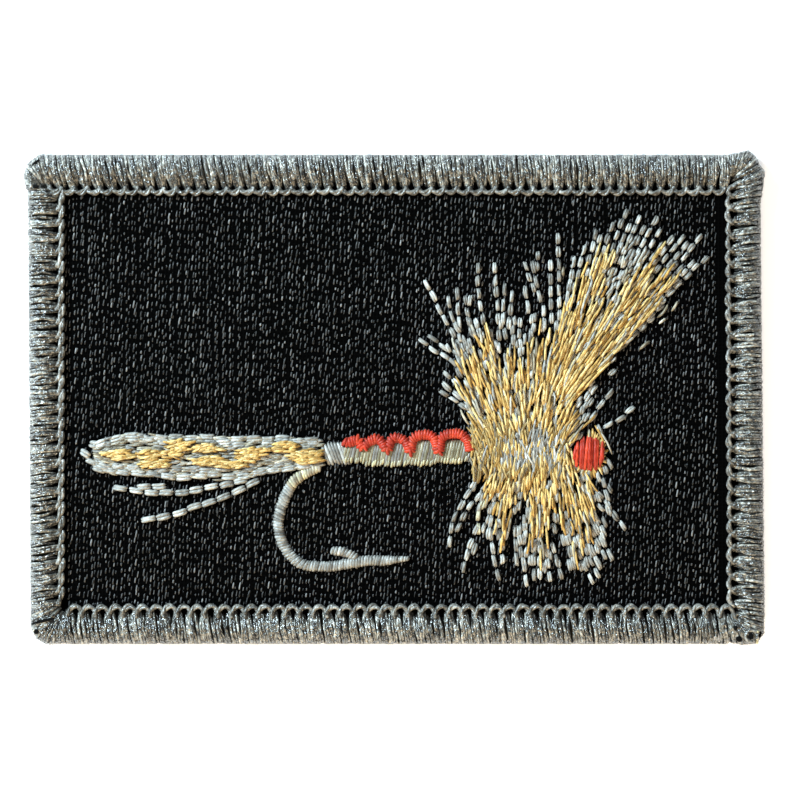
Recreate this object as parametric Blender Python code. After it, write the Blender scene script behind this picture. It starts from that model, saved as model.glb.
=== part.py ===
"""Embroidered cloth patch with a stitched dry fly, as the separate layers and threads it is sewn from.

Sizes are in millimetres and become metres when a mesh is made. X runs to the right of the stitched
picture, Y to its top, and Z up out of its face. The origin is the middle of the bottom of the whole box.

From the bottom up: the heat-seal film, the bobbin threads, the cut-away backing, the twill, a first
layer of pale stitching and a second layer of coloured stitching. The overlocked border is four rolls
that wrap the edge of the backing and the twill, and a chained needle thread runs along each roll.
"""

import math

import bmesh
import bpy

MM = 0.001

# Outline of the patch
PATCH_WIDTH = 76.2
PATCH_HEIGHT = 50.8
SIDE_LEAN = 0.45
CORNER_HUMP = 0.47
CORNER_DROP = 0.27
CORNER_OVERRUN = 0.125
CORNER_BULGE = 0.49

# Border rolls
ROLL_WIDTH = 3.9
ROLL_THICKNESS = 2.5
ROLL_STEP = 1.5
ROLL_END_LENGTH = 1.2
EDGE_TO_CLOTH = 1.25
BUTT_GAP = 0.05

# Needle chain along each roll
CHAIN_PITCH = 1.5
CHAIN_WIDTH = 0.42
CHAIN_HEIGHT = 0.42
CHAIN_SWING = 0.2
CHAIN_OFFSET = 0.5

# Heights of the layers, bottom and top
GAP = 0.03
FILM = (0.30, 0.45)
BOBBIN = (FILM[1] + GAP, 0.60)
BACKING = (BOBBIN[1] + GAP, 0.93)
TWILL = (BACKING[1] + GAP, 1.46)
LOWER_STITCHES = (TWILL[1] + GAP, 1.89)
UPPER_STITCHES = (LOWER_STITCHES[1] + GAP, 2.24)

# Placing of the fly on the cloth
FLY_X = 0.1
FLY_Y = -0.2
HUB = (14.3, -4.3)
VALLEY = 0.86
BARB_WIDTH = 0.5
LEAST_TOOTH = 2.5

# Worked out from the sizes above
HALF_WIDTH = PATCH_WIDTH / 2
EDGE_CENTRE_Y = (CORNER_DROP - CORNER_HUMP) / 2
TOP_EDGE = EDGE_CENTRE_Y + PATCH_HEIGHT / 2
BOTTOM_EDGE = EDGE_CENTRE_Y - PATCH_HEIGHT / 2
SLOT = (BACKING[0] - GAP, TWILL[1] + GAP)
SLOT_DEPTH = ROLL_WIDTH - EDGE_TO_CLOTH + GAP
BULGE_AT = ROLL_END_LENGTH + ROLL_STEP
WINDOW_X = HALF_WIDTH - ROLL_WIDTH
WINDOW_TOP = TOP_EDGE - ROLL_WIDTH
WINDOW_BOTTOM = BOTTOM_EDGE + ROLL_WIDTH

# Colour, roughness of each finish
FINISHES = {
    "black_twill": ((0.012, 0.012, 0.014), 0.55),
    "white_backing": ((0.62, 0.61, 0.58), 0.9),
    "clear_film": ((0.55, 0.55, 0.53), 0.3),
    "grey_border_thread": ((0.20, 0.20, 0.19), 0.3),
    "dun_thread": ((0.55, 0.57, 0.57), 0.35),
    "khaki_thread": ((0.38, 0.37, 0.30), 0.4),
    "ginger_thread": ((0.72, 0.48, 0.16), 0.35),
    "red_thread": ((0.68, 0.05, 0.02), 0.4),
    "white_bobbin_thread": ((0.75, 0.75, 0.74), 0.6),
}


def clear_scene():
    """Remove whatever the opened file holds."""
    for item in list(bpy.data.objects):
        bpy.data.objects.remove(item, do_unlink=True)


def make_materials():
    """Make one Principled material for each finish, and return them by name."""
    made = {}
    for name, (colour, roughness) in FINISHES.items():
        material = bpy.data.materials.new(name)
        material.use_nodes = True
        shader = material.node_tree.nodes["Principled BSDF"]
        shader.inputs["Base Color"].default_value = (*colour, 1.0)
        shader.inputs["Roughness"].default_value = roughness
        shader.inputs["Metallic"].default_value = 0.0
        made[name] = material
    return made


def add_body(name, bm, material, parent, height=0.0):
    """Turn a bmesh in millimetres into one object whose origin stands at the given height."""
    bmesh.ops.recalc_face_normals(bm, faces=bm.faces)
    bmesh.ops.scale(bm, vec=(MM, MM, MM), verts=bm.verts)
    mesh = bpy.data.meshes.new(name)
    bm.to_mesh(mesh)
    bm.free()
    mesh.materials.append(material)
    body = bpy.data.objects.new(name, mesh)
    body.location = (0.0, 0.0, height * MM)
    body.parent = parent
    bpy.context.scene.collection.objects.link(body)
    return body


def leaned(x, y):
    """Shift a point sideways with the lean of the side edges."""
    return (x - SIDE_LEAN * y / PATCH_HEIGHT, y)


def beside(start, heading, along, inward):
    """The point a distance along a heading, and a distance to the right of it, with the lean applied."""
    x = start[0] + heading[0] * along + heading[1] * inward
    y = start[1] + heading[1] * along - heading[0] * inward
    return leaned(x, y)


def loft(bm, rings):
    """Join closed rings of equal length side by side, and cap the first and the last."""
    made = [[bm.verts.new(point) for point in ring] for ring in rings]
    for ring, following in zip(made, made[1:]):
        for i, vertex in enumerate(ring):
            j = (i + 1) % len(ring)
            bm.faces.new((vertex, ring[j], following[j], following[i]))
    bm.faces.new(list(reversed(made[0])))
    bm.faces.new(made[-1])


def add_slab(name, outline, layer, material, parent, crown=0.0):
    """Extrude a closed outline to the thickness of its layer; a crown rounds off its upper edge."""
    thickness = layer[1] - layer[0]
    bm = bmesh.new()
    face = bm.faces.new([bm.verts.new((x, y, 0.0)) for x, y in outline])
    raised = bmesh.ops.extrude_face_region(bm, geom=[face])["geom"]
    upper = [item for item in raised if isinstance(item, bmesh.types.BMVert)]
    bmesh.ops.translate(bm, vec=(0.0, 0.0, thickness - crown), verts=upper)
    if crown:
        top = [item for item in raised if isinstance(item, bmesh.types.BMFace)]
        bmesh.ops.inset_region(bm, faces=top, thickness=crown, depth=0.0)
        bmesh.ops.translate(bm, vec=(0.0, 0.0, crown), verts=top[0].verts)
    return add_body(name, bm, material, parent, layer[0])


def add_column(name, points, widths, layer, material, parent):
    """Sweep a flat-bottomed, domed satin stitch section along a path, at the width given for each point."""
    thickness = layer[1] - layer[0]
    rings = []
    for i, (x, y) in enumerate(points):
        before = points[max(i - 1, 0)]
        after = points[min(i + 1, len(points) - 1)]
        along = math.atan2(after[1] - before[1], after[0] - before[0])
        side = (-math.sin(along), math.cos(along))
        half = widths[i] / 2
        section = ((-half, 0.0), (half, 0.0), (0.7 * half, thickness), (-0.7 * half, thickness))
        rings.append([(x + side[0] * offset, y + side[1] * offset, z) for offset, z in section])
    bm = bmesh.new()
    loft(bm, rings)
    return add_body(name, bm, material, parent, layer[0])


def cloth_outline(inset_x, top, bottom):
    """The four corners of a cloth layer that ends at the given distances from the middle."""
    corners = ((-inset_x, bottom), (inset_x, bottom), (inset_x, top), (-inset_x, top))
    return [leaned(x, y) for x, y in corners]


def add_cloth_layers(materials, parent):
    """Make the twill, the backing behind it and the heat-seal film inside the border's window."""
    edge = cloth_outline(HALF_WIDTH - EDGE_TO_CLOTH, TOP_EDGE - EDGE_TO_CLOTH, BOTTOM_EDGE + EDGE_TO_CLOTH)
    add_slab("twill_ground", edge, TWILL, materials["black_twill"], parent)
    add_slab("cutaway_backing", edge, BACKING, materials["white_backing"], parent)
    clearance = 3 * GAP
    window = cloth_outline(WINDOW_X - clearance, WINDOW_TOP - clearance, WINDOW_BOTTOM + clearance)
    add_slab("heat_seal_film", window, FILM, materials["clear_film"], parent)


def roll_section(slot_depth):
    """The C section of a border roll, as distance in from its outer edge and height."""
    inner = ROLL_WIDTH
    top = ROLL_THICKNESS
    return [
        (inner, SLOT[1]),
        (inner - 0.05, 0.78 * top),
        (inner - 0.9, 0.94 * top),
        (inner - 1.9, top),
        (0.9, 0.92 * top),
        (0.25, 0.74 * top),
        (0.0, 0.5 * top),
        (0.2, 0.22 * top),
        (0.8, 0.03 * top),
        (1.3, 0.0),
        (inner - 0.6, 0.0),
        (inner - 0.1, 0.08 * top),
        (inner - 0.1, SLOT[0]),
        (inner - slot_depth, SLOT[0]),
        (inner - slot_depth, SLOT[1]),
    ]


def end_shrink(distance):
    """How full a rounded roll end is at a distance from its tip, as on a quarter circle."""
    if distance >= ROLL_END_LENGTH:
        return 1.0
    return math.sqrt(1.0 - (1.0 - distance / ROLL_END_LENGTH) ** 2)


def roll_stations(length, round_start, round_end):
    """Distances along a roll where its section is placed, closer together in its rounded ends."""
    close = (0.05, 0.25, 0.7, ROLL_END_LENGTH)
    stations = list(close) if round_start else [0.0]
    stop = length - ROLL_END_LENGTH if round_end else length
    count = max(1, round((stop - stations[-1]) / ROLL_STEP))
    first = stations[-1]
    stations += [first + (stop - first) * (i + 1) / count for i in range(count)]
    if round_end:
        stations += [length - distance for distance in reversed(close[:-1])]
    return stations


def add_roll(name, start, heading, length, rounded, bulge, material, parent):
    """Sweep the C section along one side; heading is the unit direction, with the cloth on its right."""
    middle_u = ROLL_WIDTH / 2
    middle_z = ROLL_THICKNESS / 2
    rings = []
    for s in roll_stations(length, *rounded):
        full = 1.0
        if rounded[0]:
            full = end_shrink(s)
        if rounded[1]:
            full = min(full, end_shrink(length - s))
        swell = bulge * max(0.0, 1.0 - abs(s - BULGE_AT) / BULGE_AT)
        ring = []
        for u, z in roll_section(SLOT_DEPTH if full == 1.0 else GAP):
            u = middle_u + (u - middle_u) * full
            if z not in SLOT:
                z = middle_z + (z - middle_z) * (0.4 + 0.6 * full)
            u -= swell * (1.0 - u / ROLL_WIDTH) if u < EDGE_TO_CLOTH else 0.0
            ring.append((*beside(start, heading, s, u), z))
        rings.append(ring)
    bm = bmesh.new()
    loft(bm, rings)
    return add_body(name, bm, material, parent)


def add_border_rolls(materials, parent):
    """Make the four overlocked rolls; the top one owns its left corner, the side ones the other three."""
    thread = materials["grey_border_thread"]
    inside = HALF_WIDTH - ROLL_WIDTH - BUTT_GAP
    left_tip = -HALF_WIDTH - CORNER_OVERRUN
    right_top = TOP_EDGE + CORNER_HUMP
    low_tip = BOTTOM_EDGE - CORNER_DROP
    left_top = TOP_EDGE - ROLL_WIDTH - BUTT_GAP
    starts = {
        "top": (left_tip, TOP_EDGE),
        "right": (HALF_WIDTH, right_top),
        "bottom": (inside, BOTTOM_EDGE),
        "left": (-HALF_WIDTH, low_tip),
    }
    headings = {"top": (1, 0), "right": (0, -1), "bottom": (-1, 0), "left": (0, 1)}
    lengths = {
        "top": inside - left_tip,
        "right": right_top - low_tip,
        "bottom": 2 * inside,
        "left": left_top - low_tip,
    }
    rounded = {"top": (True, False), "right": (True, True), "bottom": (False, False), "left": (True, False)}
    for side, start in starts.items():
        bulge = CORNER_BULGE if side == "right" else 0.0
        shape = (headings[side], lengths[side], rounded[side], bulge)
        add_roll(f"border_roll_{side}", start, *shape, thread, parent)


def add_chain(name, start, heading, length, material, parent):
    """Lay a scalloped needle thread beside a roll, two points to each scallop."""
    count = round(length / CHAIN_PITCH) * 2
    half = CHAIN_WIDTH / 2
    rings = []
    section = ((-half, 0.0), (half, 0.0), (0.5 * half, CHAIN_HEIGHT), (-0.5 * half, CHAIN_HEIGHT))
    for i in range(count + 1):
        s = length * i / count
        centre = CHAIN_OFFSET + (CHAIN_SWING if i % 2 else -CHAIN_SWING)
        ring = []
        for offset, z in section:
            u = centre + offset
            ring.append((*beside(start, heading, s, u), z))
        rings.append(ring)
    bm = bmesh.new()
    loft(bm, rings)
    return add_body(name, bm, material, parent, LOWER_STITCHES[0])


def add_border_chains(materials, parent):
    """Make the four needle chains; the upper and lower ones run the whole width of the window."""
    thread = materials["grey_border_thread"]
    wide = 2 * (WINDOW_X - BUTT_GAP)
    room = CHAIN_OFFSET + CHAIN_SWING + CHAIN_WIDTH / 2 + BUTT_GAP
    high = WINDOW_TOP - WINDOW_BOTTOM - 2 * room
    add_chain("border_chain_top", (-WINDOW_X + BUTT_GAP, WINDOW_TOP), (1, 0), wide, thread, parent)
    add_chain("border_chain_right", (WINDOW_X, WINDOW_TOP - room), (0, -1), high, thread, parent)
    add_chain("border_chain_bottom", (WINDOW_X - BUTT_GAP, WINDOW_BOTTOM), (-1, 0), wide, thread, parent)
    add_chain("border_chain_left", (-WINDOW_X, WINDOW_BOTTOM + room), (0, 1), high, thread, parent)


def on_cloth(points):
    """Move points of the fly to their place on the cloth."""
    return [(x + FLY_X, y + FLY_Y) for x, y in points]


def feather_outline(root, tips):
    """A fan of blunt barbs, from root points and from tips given as angle and radius about the hub.

    A valley lies between neighbouring tips; where they stand close together they share one edge instead.
    """
    turning = math.copysign(1.0, tips[-1][0] - tips[0][0])
    rim = []
    for i, (angle, radius) in enumerate(tips):
        inside = 0 < i < len(tips) - 1
        gaps = [abs(angle - tips[j][0]) for j in (i - 1, i + 1) if 0 <= j < len(tips)]
        if i and gaps[0] >= LEAST_TOOTH:
            before_angle, before_radius = tips[i - 1]
            rim.append(((angle + before_angle) / 2, VALLEY * min(radius, before_radius)))
        if inside and min(gaps) >= LEAST_TOOTH:
            half_end = turning * math.degrees(BARB_WIDTH / 2 / radius)
            rim += [(angle - half_end, radius), (angle + half_end, radius)]
        else:
            rim.append((angle, radius))
    points = list(root)
    for angle, radius in rim:
        turn = math.radians(angle)
        points.append((HUB[0] + radius * math.cos(turn), HUB[1] + radius * math.sin(turn)))
    return on_cloth(points)


def add_hook(materials, parent):
    """Make the bend and point of the hook, and the barb beside the point."""
    thread = materials["dun_thread"]
    bend = [(-8.9, -7.9), (-10.4, -8.4), (-11.5, -9.8), (-12.1, -11.2), (-12.4, -12.8), (-12.0, -14.5),
            (-11.0, -16.2), (-9.9, -17.2), (-8.4, -17.5), (-5.6, -17.35), (-3.1, -16.8), (1.0, -16.5)]
    widths = [0.7, 0.9, 1.0, 1.0, 1.0, 1.0, 1.0, 1.0, 1.0, 0.95, 0.85, 0.35]
    add_column("hook_bend", on_cloth(bend), widths, LOWER_STITCHES, thread, parent)
    barb = [(-6.6, -15.5), (-5.9, -15.95), (-5.2, -16.4)]
    add_column("hook_barb", on_cloth(barb), [0.6, 0.75, 0.45], LOWER_STITCHES, thread, parent)


def add_tail(materials, parent):
    """Make the tail: a dun bundle, two loose strands, a ginger streak over it and its tie-in collar."""
    dun = materials["dun_thread"]
    bundle = [(-7.5, -4.3), (-13.0, -3.8), (-20.0, -3.6), (-27.6, -3.3), (-29.3, -4.2), (-31.6, -4.4),
              (-33.0, -5.2), (-31.6, -6.0), (-30.6, -7.9), (-22.0, -8.0), (-15.0, -7.8), (-10.4, -7.3),
              (-7.5, -6.8)]
    add_slab("tail_bundle_dun", on_cloth(bundle), LOWER_STITCHES, dun, parent)
    upper = [(-29.9, -9.0), (-26.9, -9.3), (-22.9, -9.6), (-19.5, -9.2), (-17.8, -8.75), (-16.2, -8.35)]
    strand_widths = [0.5, 0.6, 0.6, 0.6, 0.6, 0.5]
    add_column("tail_strand_upper", on_cloth(upper), strand_widths, LOWER_STITCHES, dun, parent)
    lower = [(-26.8, -12.6), (-24.3, -12.15), (-21.4, -11.25), (-18.3, -10.3), (-15.4, -9.1), (-14.3, -8.4)]
    add_column("tail_strand_lower", on_cloth(lower), strand_widths, LOWER_STITCHES, dun, parent)
    streak = [(-30.1, -5.6), (-27.2, -5.7), (-24.4, -5.8), (-20.9, -5.6), (-17.6, -5.7), (-14.6, -5.9),
              (-10.6, -5.7), (-7.6, -5.7)]
    streak_widths = [0.8, 1.2, 2.2, 1.8, 1.6, 1.5, 2.0, 2.2]
    ginger = materials["ginger_thread"]
    add_column("tail_streak_ginger", on_cloth(streak), streak_widths, UPPER_STITCHES, ginger, parent)
    collar = [(-7.3, -7.0), (-5.4, -7.0), (-5.4, -4.3), (-7.3, -4.5)]
    add_slab("tail_tie_in_collar", on_cloth(collar), LOWER_STITCHES, dun, parent, crown=0.15)


def add_abdomen(materials, parent):
    """Make the five body segments, which widen to the thorax, and the red rib that arches over them."""
    joints = [-5.25, -3.25, -1.0, 1.5, 4.5, 7.4]
    drop = [-6.8, -7.0, -7.1, -6.9, -6.7]
    crests = [-3.8, -3.6, -3.5, -3.3, -3.0]
    dips = [-5.2, -5.6, -5.8, -5.8, -5.5]
    half_gap = BUTT_GAP / 2
    for i, low in enumerate(drop):
        left = joints[i] + half_gap
        right = joints[i + 1] - half_gap
        shoulder = 0.2 * (right - left)
        outline = [(left, -4.3), (left, low + 0.5), (left + shoulder, low), (right - shoulder, low),
                   (right, low + 0.5), (right, -4.3)]
        add_slab(f"abdomen_segment_{i + 1}", on_cloth(outline), LOWER_STITCHES, materials["khaki_thread"],
                 parent, crown=0.15)
    band = 0.9
    rib = [(joints[0] + 0.3, -4.7)]
    for i, crest in enumerate(crests):
        middle = (joints[i] + joints[i + 1]) / 2
        reach = (joints[i + 1] - joints[i]) / 2
        foot = dips[i] + band / 2
        rise = crest - band / 2 - foot
        for turn in (135, 90, 45):
            angle = math.radians(turn)
            rib.append((middle + reach * math.cos(angle), foot + rise * math.sin(angle)))
        rib.append((joints[i + 1], foot))
    widths = [band] * len(rib)
    add_column("rib_red", on_cloth(rib), widths, UPPER_STITCHES, materials["red_thread"], parent)


def add_hackle(materials, parent):
    """Make the dun hackle: the upper and left fans, the lower fan, and the loose strands around them."""
    dun = materials["dun_thread"]
    layer = LOWER_STITCHES
    left = [(156, 8.6), (150, 10.6), (143, 11.8), (138, 15.2), (134, 14.6), (129.5, 12.0)]
    add_slab("hackle_dun_left", feather_outline([(9.6, -2.2)], left), layer, dun, parent)
    upper = [(128, 13.0), (124, 19.2), (119.5, 16.4), (114, 16.8), (108, 17.6), (103, 17.8), (97, 16.4),
             (92, 17.8), (87, 18.2), (83, 21.0), (80.5, 14.0)]
    add_slab("hackle_dun_upper", feather_outline([(13.6, -3.4)], upper), layer, dun, parent)
    lower = [(238, 9.0), (242, 15.4), (247, 13.6), (255, 15.0), (262, 13.8), (268, 15.0), (275, 14.6),
             (282, 14.2), (288, 15.2), (293, 15.9), (298, 14.6), (303, 14.6), (307, 9.0)]
    add_slab("hackle_dun_lower", feather_outline([(14.3, -7.4)], lower), layer, dun, parent)
    sweep = [(8.6, -7.9), (7.2, -9.6), (6.3, -11.2), (5.8, -13.1), (5.7, -15.1)]
    add_column("hackle_strand_lower_left", on_cloth(sweep), [0.8, 1.0, 0.9, 0.8, 0.5], layer, dun, parent)
    right = [(21.4, -9.6), (22.2, -10.8), (23.0, -12.2), (23.7, -13.4)]
    add_column("hackle_strand_lower_right", on_cloth(right), [0.7, 0.7, 0.65, 0.5], layer, dun, parent)
    high = [(19.8, -2.5), (20.4, -1.7), (21.3, -0.6), (22.5, 1.0)]
    add_column("hackle_strand_right_high", on_cloth(high), [0.6, 0.6, 0.65, 0.5], layer, dun, parent)
    low = [(20.9, -2.75), (22.2, -2.3), (23.4, -1.8), (24.7, -0.85)]
    add_column("hackle_strand_right_low", on_cloth(low), [0.55, 0.6, 0.65, 0.5], layer, dun, parent)


def add_wing(materials, parent):
    """Make the upright wing: a dun fan, with a ginger spoke along each side of it."""
    dun = materials["dun_thread"]
    ginger = materials["ginger_thread"]
    wing = [(78.0, 13.0), (77.2, 19.2), (74.4, 22.3), (70.4, 23.8), (67.0, 25.4), (63.2, 25.3), (59.2, 25.4),
            (55.2, 26.2), (51.8, 27.2), (49.2, 24.9), (46.6, 25.6), (46.4, 19.6), (46.2, 13.0)]
    add_slab("wing_dun", feather_outline([(15.6, -1.6)], wing), LOWER_STITCHES, dun, parent)
    left = [(77.0, 14.0), (74.6, 20.0), (70.6, 21.4), (67.6, 23.0), (65.4, 19.6), (64.0, 14.0)]
    left_root = [(16.9, 6.4), (16.2, 4.2)]
    add_slab("wing_spoke_left_ginger", feather_outline(left_root, left), UPPER_STITCHES, ginger, parent)
    right = [(61.0, 14.0), (58.4, 20.4), (54.6, 23.8), (51.2, 23.6), (48.8, 19.6), (48.4, 13.6)]
    right_root = [(18.4, 3.6)]
    add_slab("wing_spoke_right_ginger", feather_outline(right_root, right), UPPER_STITCHES, ginger, parent)


def add_ginger_hackle(materials, parent):
    """Make the ginger hourglass: the upper fan, the thorax at its waist and the lower fan."""
    ginger = materials["ginger_thread"]
    upper = [(158, 7.2), (138, 10.2), (129, 14.4), (122, 12.2), (116, 13.2), (110, 12.0), (104, 12.6),
             (97, 10.8), (88, 12.6), (82, 10.0), (74, 8.6), (60, 8.6), (48, 8.8), (30, 5.2)]
    root = [(18.3, -3.2), (8.4, -3.2)]
    add_slab("hackle_ginger_upper", feather_outline(root, upper), UPPER_STITCHES, ginger, parent)
    thorax = [(8.4, -3.35), (18.2, -3.35), (18.2, -7.0), (8.8, -7.0)]
    add_slab("thorax_ginger", on_cloth(thorax), UPPER_STITCHES, ginger, parent, crown=0.12)
    lower = [(228, 4.6), (236, 5.4), (247, 9.4), (256, 11.8), (263, 10.8), (269, 13.4), (276, 11.4),
             (284, 9.4), (291, 10.6), (297, 13.4), (301, 10.4), (310, 8.0), (318, 4.6)]
    lower_root = [(17.9, -7.15), (10.4, -7.15)]
    add_slab("hackle_ginger_lower", feather_outline(lower_root, lower), UPPER_STITCHES, ginger, parent)


def ellipse(centre, radius_x, radius_y, count):
    """Points around an ellipse."""
    points = []
    for i in range(count):
        turn = 2 * math.pi * i / count
        points.append((centre[0] + radius_x * math.cos(turn), centre[1] + radius_y * math.sin(turn)))
    return points


def add_head(materials, parent):
    """Make the head: a ginger disc with a red disc stitched over it."""
    ginger = materials["ginger_thread"]
    disc = ellipse((20.1, -6.1), 1.75, 2.6, 20)
    add_slab("head_disc_ginger", on_cloth(disc), LOWER_STITCHES, ginger, parent, crown=0.12)
    eye = ellipse((19.95, -5.6), 1.6, 1.85, 20)
    add_slab("head_disc_red", on_cloth(eye), UPPER_STITCHES, materials["red_thread"], parent, crown=0.12)


def add_bobbin_threads(materials, parent):
    """Make the locked bobbin stitching behind the fly, between the backing and the film."""
    thread = materials["white_bobbin_thread"]
    body = [(-32.4, -5.0), (-28.0, -3.6), (7.3, -3.4), (7.3, -6.6), (-9.0, -7.2), (-11.6, -11.0),
            (-11.6, -15.0), (-9.0, -16.9), (0.6, -16.2), (0.6, -16.8), (-9.0, -17.8), (-12.8, -15.2),
            (-12.8, -10.8), (-15.0, -8.0), (-29.0, -8.0)]
    add_slab("bobbin_stitching_body", on_cloth(body), BOBBIN, thread, parent)
    wing = [(8.0, -2.0), (4.2, 6.0), (5.0, 9.6), (16.8, 15.6), (17.4, 12.0), (20.4, 16.8), (25.4, 18.0),
            (31.0, 14.6), (21.4, 3.6), (21.6, -6.0), (19.0, -8.6), (21.6, -16.0), (14.0, -18.4), (7.6, -16.4),
            (9.4, -8.0)]
    add_slab("bobbin_stitching_hackle", on_cloth(wing), BOBBIN, thread, parent)


def main():
    """Build the patch, one object for each piece, under one empty at the origin."""
    clear_scene()
    materials = make_materials()
    patch = bpy.data.objects.new("patch", None)
    bpy.context.scene.collection.objects.link(patch)
    add_cloth_layers(materials, patch)
    add_border_rolls(materials, patch)
    add_border_chains(materials, patch)
    add_hook(materials, patch)
    add_tail(materials, patch)
    add_abdomen(materials, patch)
    add_hackle(materials, patch)
    add_wing(materials, patch)
    add_ginger_hackle(materials, patch)
    add_head(materials, patch)
    add_bobbin_threads(materials, patch)


main()
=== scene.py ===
"""Looks of an embroidered cloth patch: every thread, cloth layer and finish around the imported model.

Lengths inside this file are millimetres and become metres when a mesh is filled. X runs to the right of
the stitched picture, Y to its top and Z up out of its face, as in the model.

Each stitch is one closed thread that dives into the cloth at both ends. A finish reads the colour of a
stitch from the "tint" attribute, and the lie of its fibres from the "thread" UV map, in which U runs along
the thread in millimetres and V once around it.
"""

import logging
import math
from dataclasses import dataclass
from enum import Enum

import bpy
import numpy as np
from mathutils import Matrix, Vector


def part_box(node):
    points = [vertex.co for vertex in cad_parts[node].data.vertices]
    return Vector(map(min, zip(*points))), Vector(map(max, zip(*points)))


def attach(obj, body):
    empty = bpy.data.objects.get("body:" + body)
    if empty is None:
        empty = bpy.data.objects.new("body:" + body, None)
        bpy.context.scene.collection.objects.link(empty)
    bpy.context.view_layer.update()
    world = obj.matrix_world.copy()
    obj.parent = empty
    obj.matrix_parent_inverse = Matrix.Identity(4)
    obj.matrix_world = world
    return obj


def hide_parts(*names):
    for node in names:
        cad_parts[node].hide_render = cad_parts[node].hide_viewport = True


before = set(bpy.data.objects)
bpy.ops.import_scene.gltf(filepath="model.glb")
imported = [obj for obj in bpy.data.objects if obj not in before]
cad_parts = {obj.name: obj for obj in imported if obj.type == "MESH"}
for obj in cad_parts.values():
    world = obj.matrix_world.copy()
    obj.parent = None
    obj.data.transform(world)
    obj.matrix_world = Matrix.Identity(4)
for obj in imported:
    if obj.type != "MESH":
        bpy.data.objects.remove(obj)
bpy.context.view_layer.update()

logging.basicConfig(level=logging.INFO, format="%(message)s")
LOG = logging.getLogger("patch")

MM = 0.001
Array = np.ndarray
Point = tuple[float, float]
Line = tuple[Point, ...]
Colour = tuple[float, float, float]

BODY = "root"
THREAD_UV = "thread"
TINT = "tint"


def node_box(node: str) -> tuple[Array, Array]:
    """Find where a CAD node lies.

    Args:
        node: Name of the CAD node.

    Returns:
        Its lowest and highest corners in millimetres.
    """
    low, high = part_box(node)
    return np.array(low) / MM, np.array(high) / MM


class Slot(str, Enum):
    """The record's material slots."""

    TWILL = "black_twill"
    BACKING = "white_backing"
    FILM = "clear_film"
    BORDER = "grey_border_thread"
    DUN = "dun_thread"
    KHAKI = "khaki_thread"
    GINGER = "ginger_thread"
    RED = "red_thread"
    BOBBIN = "white_bobbin_thread"


# Linear colours of the threads, from shaded to full
DUN_TINTS: tuple[Colour, ...] = ((0.285, 0.278, 0.252), (0.19, 0.182, 0.162), (0.365, 0.362, 0.335))
SHADED_DUN_TINTS: tuple[Colour, ...] = ((0.33, 0.29, 0.21), (0.24, 0.20, 0.135), (0.39, 0.36, 0.29))
GINGER_TINTS: tuple[Colour, ...] = ((0.52, 0.338, 0.108), (0.35, 0.206, 0.054), (0.61, 0.445, 0.185))
KHAKI_TINTS: tuple[Colour, ...] = ((0.225, 0.205, 0.135), (0.29, 0.27, 0.19), (0.16, 0.142, 0.088))
PALE_KHAKI_TINTS: tuple[Colour, ...] = ((0.50, 0.45, 0.27), (0.41, 0.38, 0.26))
RED_TINTS: tuple[Colour, ...] = ((0.40, 0.026, 0.009), (0.32, 0.021, 0.008), (0.44, 0.038, 0.013))
BORDER_TINTS: tuple[Colour, ...] = ((0.095, 0.090, 0.076), (0.042, 0.041, 0.036), (0.155, 0.148, 0.128))
CHAIN_TINTS: tuple[Colour, ...] = ((0.135, 0.126, 0.108), (0.090, 0.085, 0.073), (0.18, 0.172, 0.153))
# Black warp floats: dark tones of the thread, with the lightest entry as painted glints on the black thread
BLACK_AND_GLINT_TINTS: tuple[Colour, ...] = (
    (0.048, 0.047, 0.047), (0.013, 0.013, 0.013), (0.036, 0.036, 0.036), (0.020, 0.020, 0.020),
    (0.110, 0.108, 0.106),
)
WHITE_TINTS: tuple[Colour, ...] = ((0.70, 0.70, 0.69), (0.62, 0.62, 0.61))


@dataclass(frozen=True)
class Heights:
    """Levels of the twill and of the two layers of stitches on it, read from the model."""

    cloth: float = float(node_box("twill_ground")[1][2])
    lower: float = float(node_box("wing_dun")[1][2])
    upper: float = float(node_box("wing_spoke_left_ginger")[1][2])


HEIGHTS = Heights()


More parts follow.
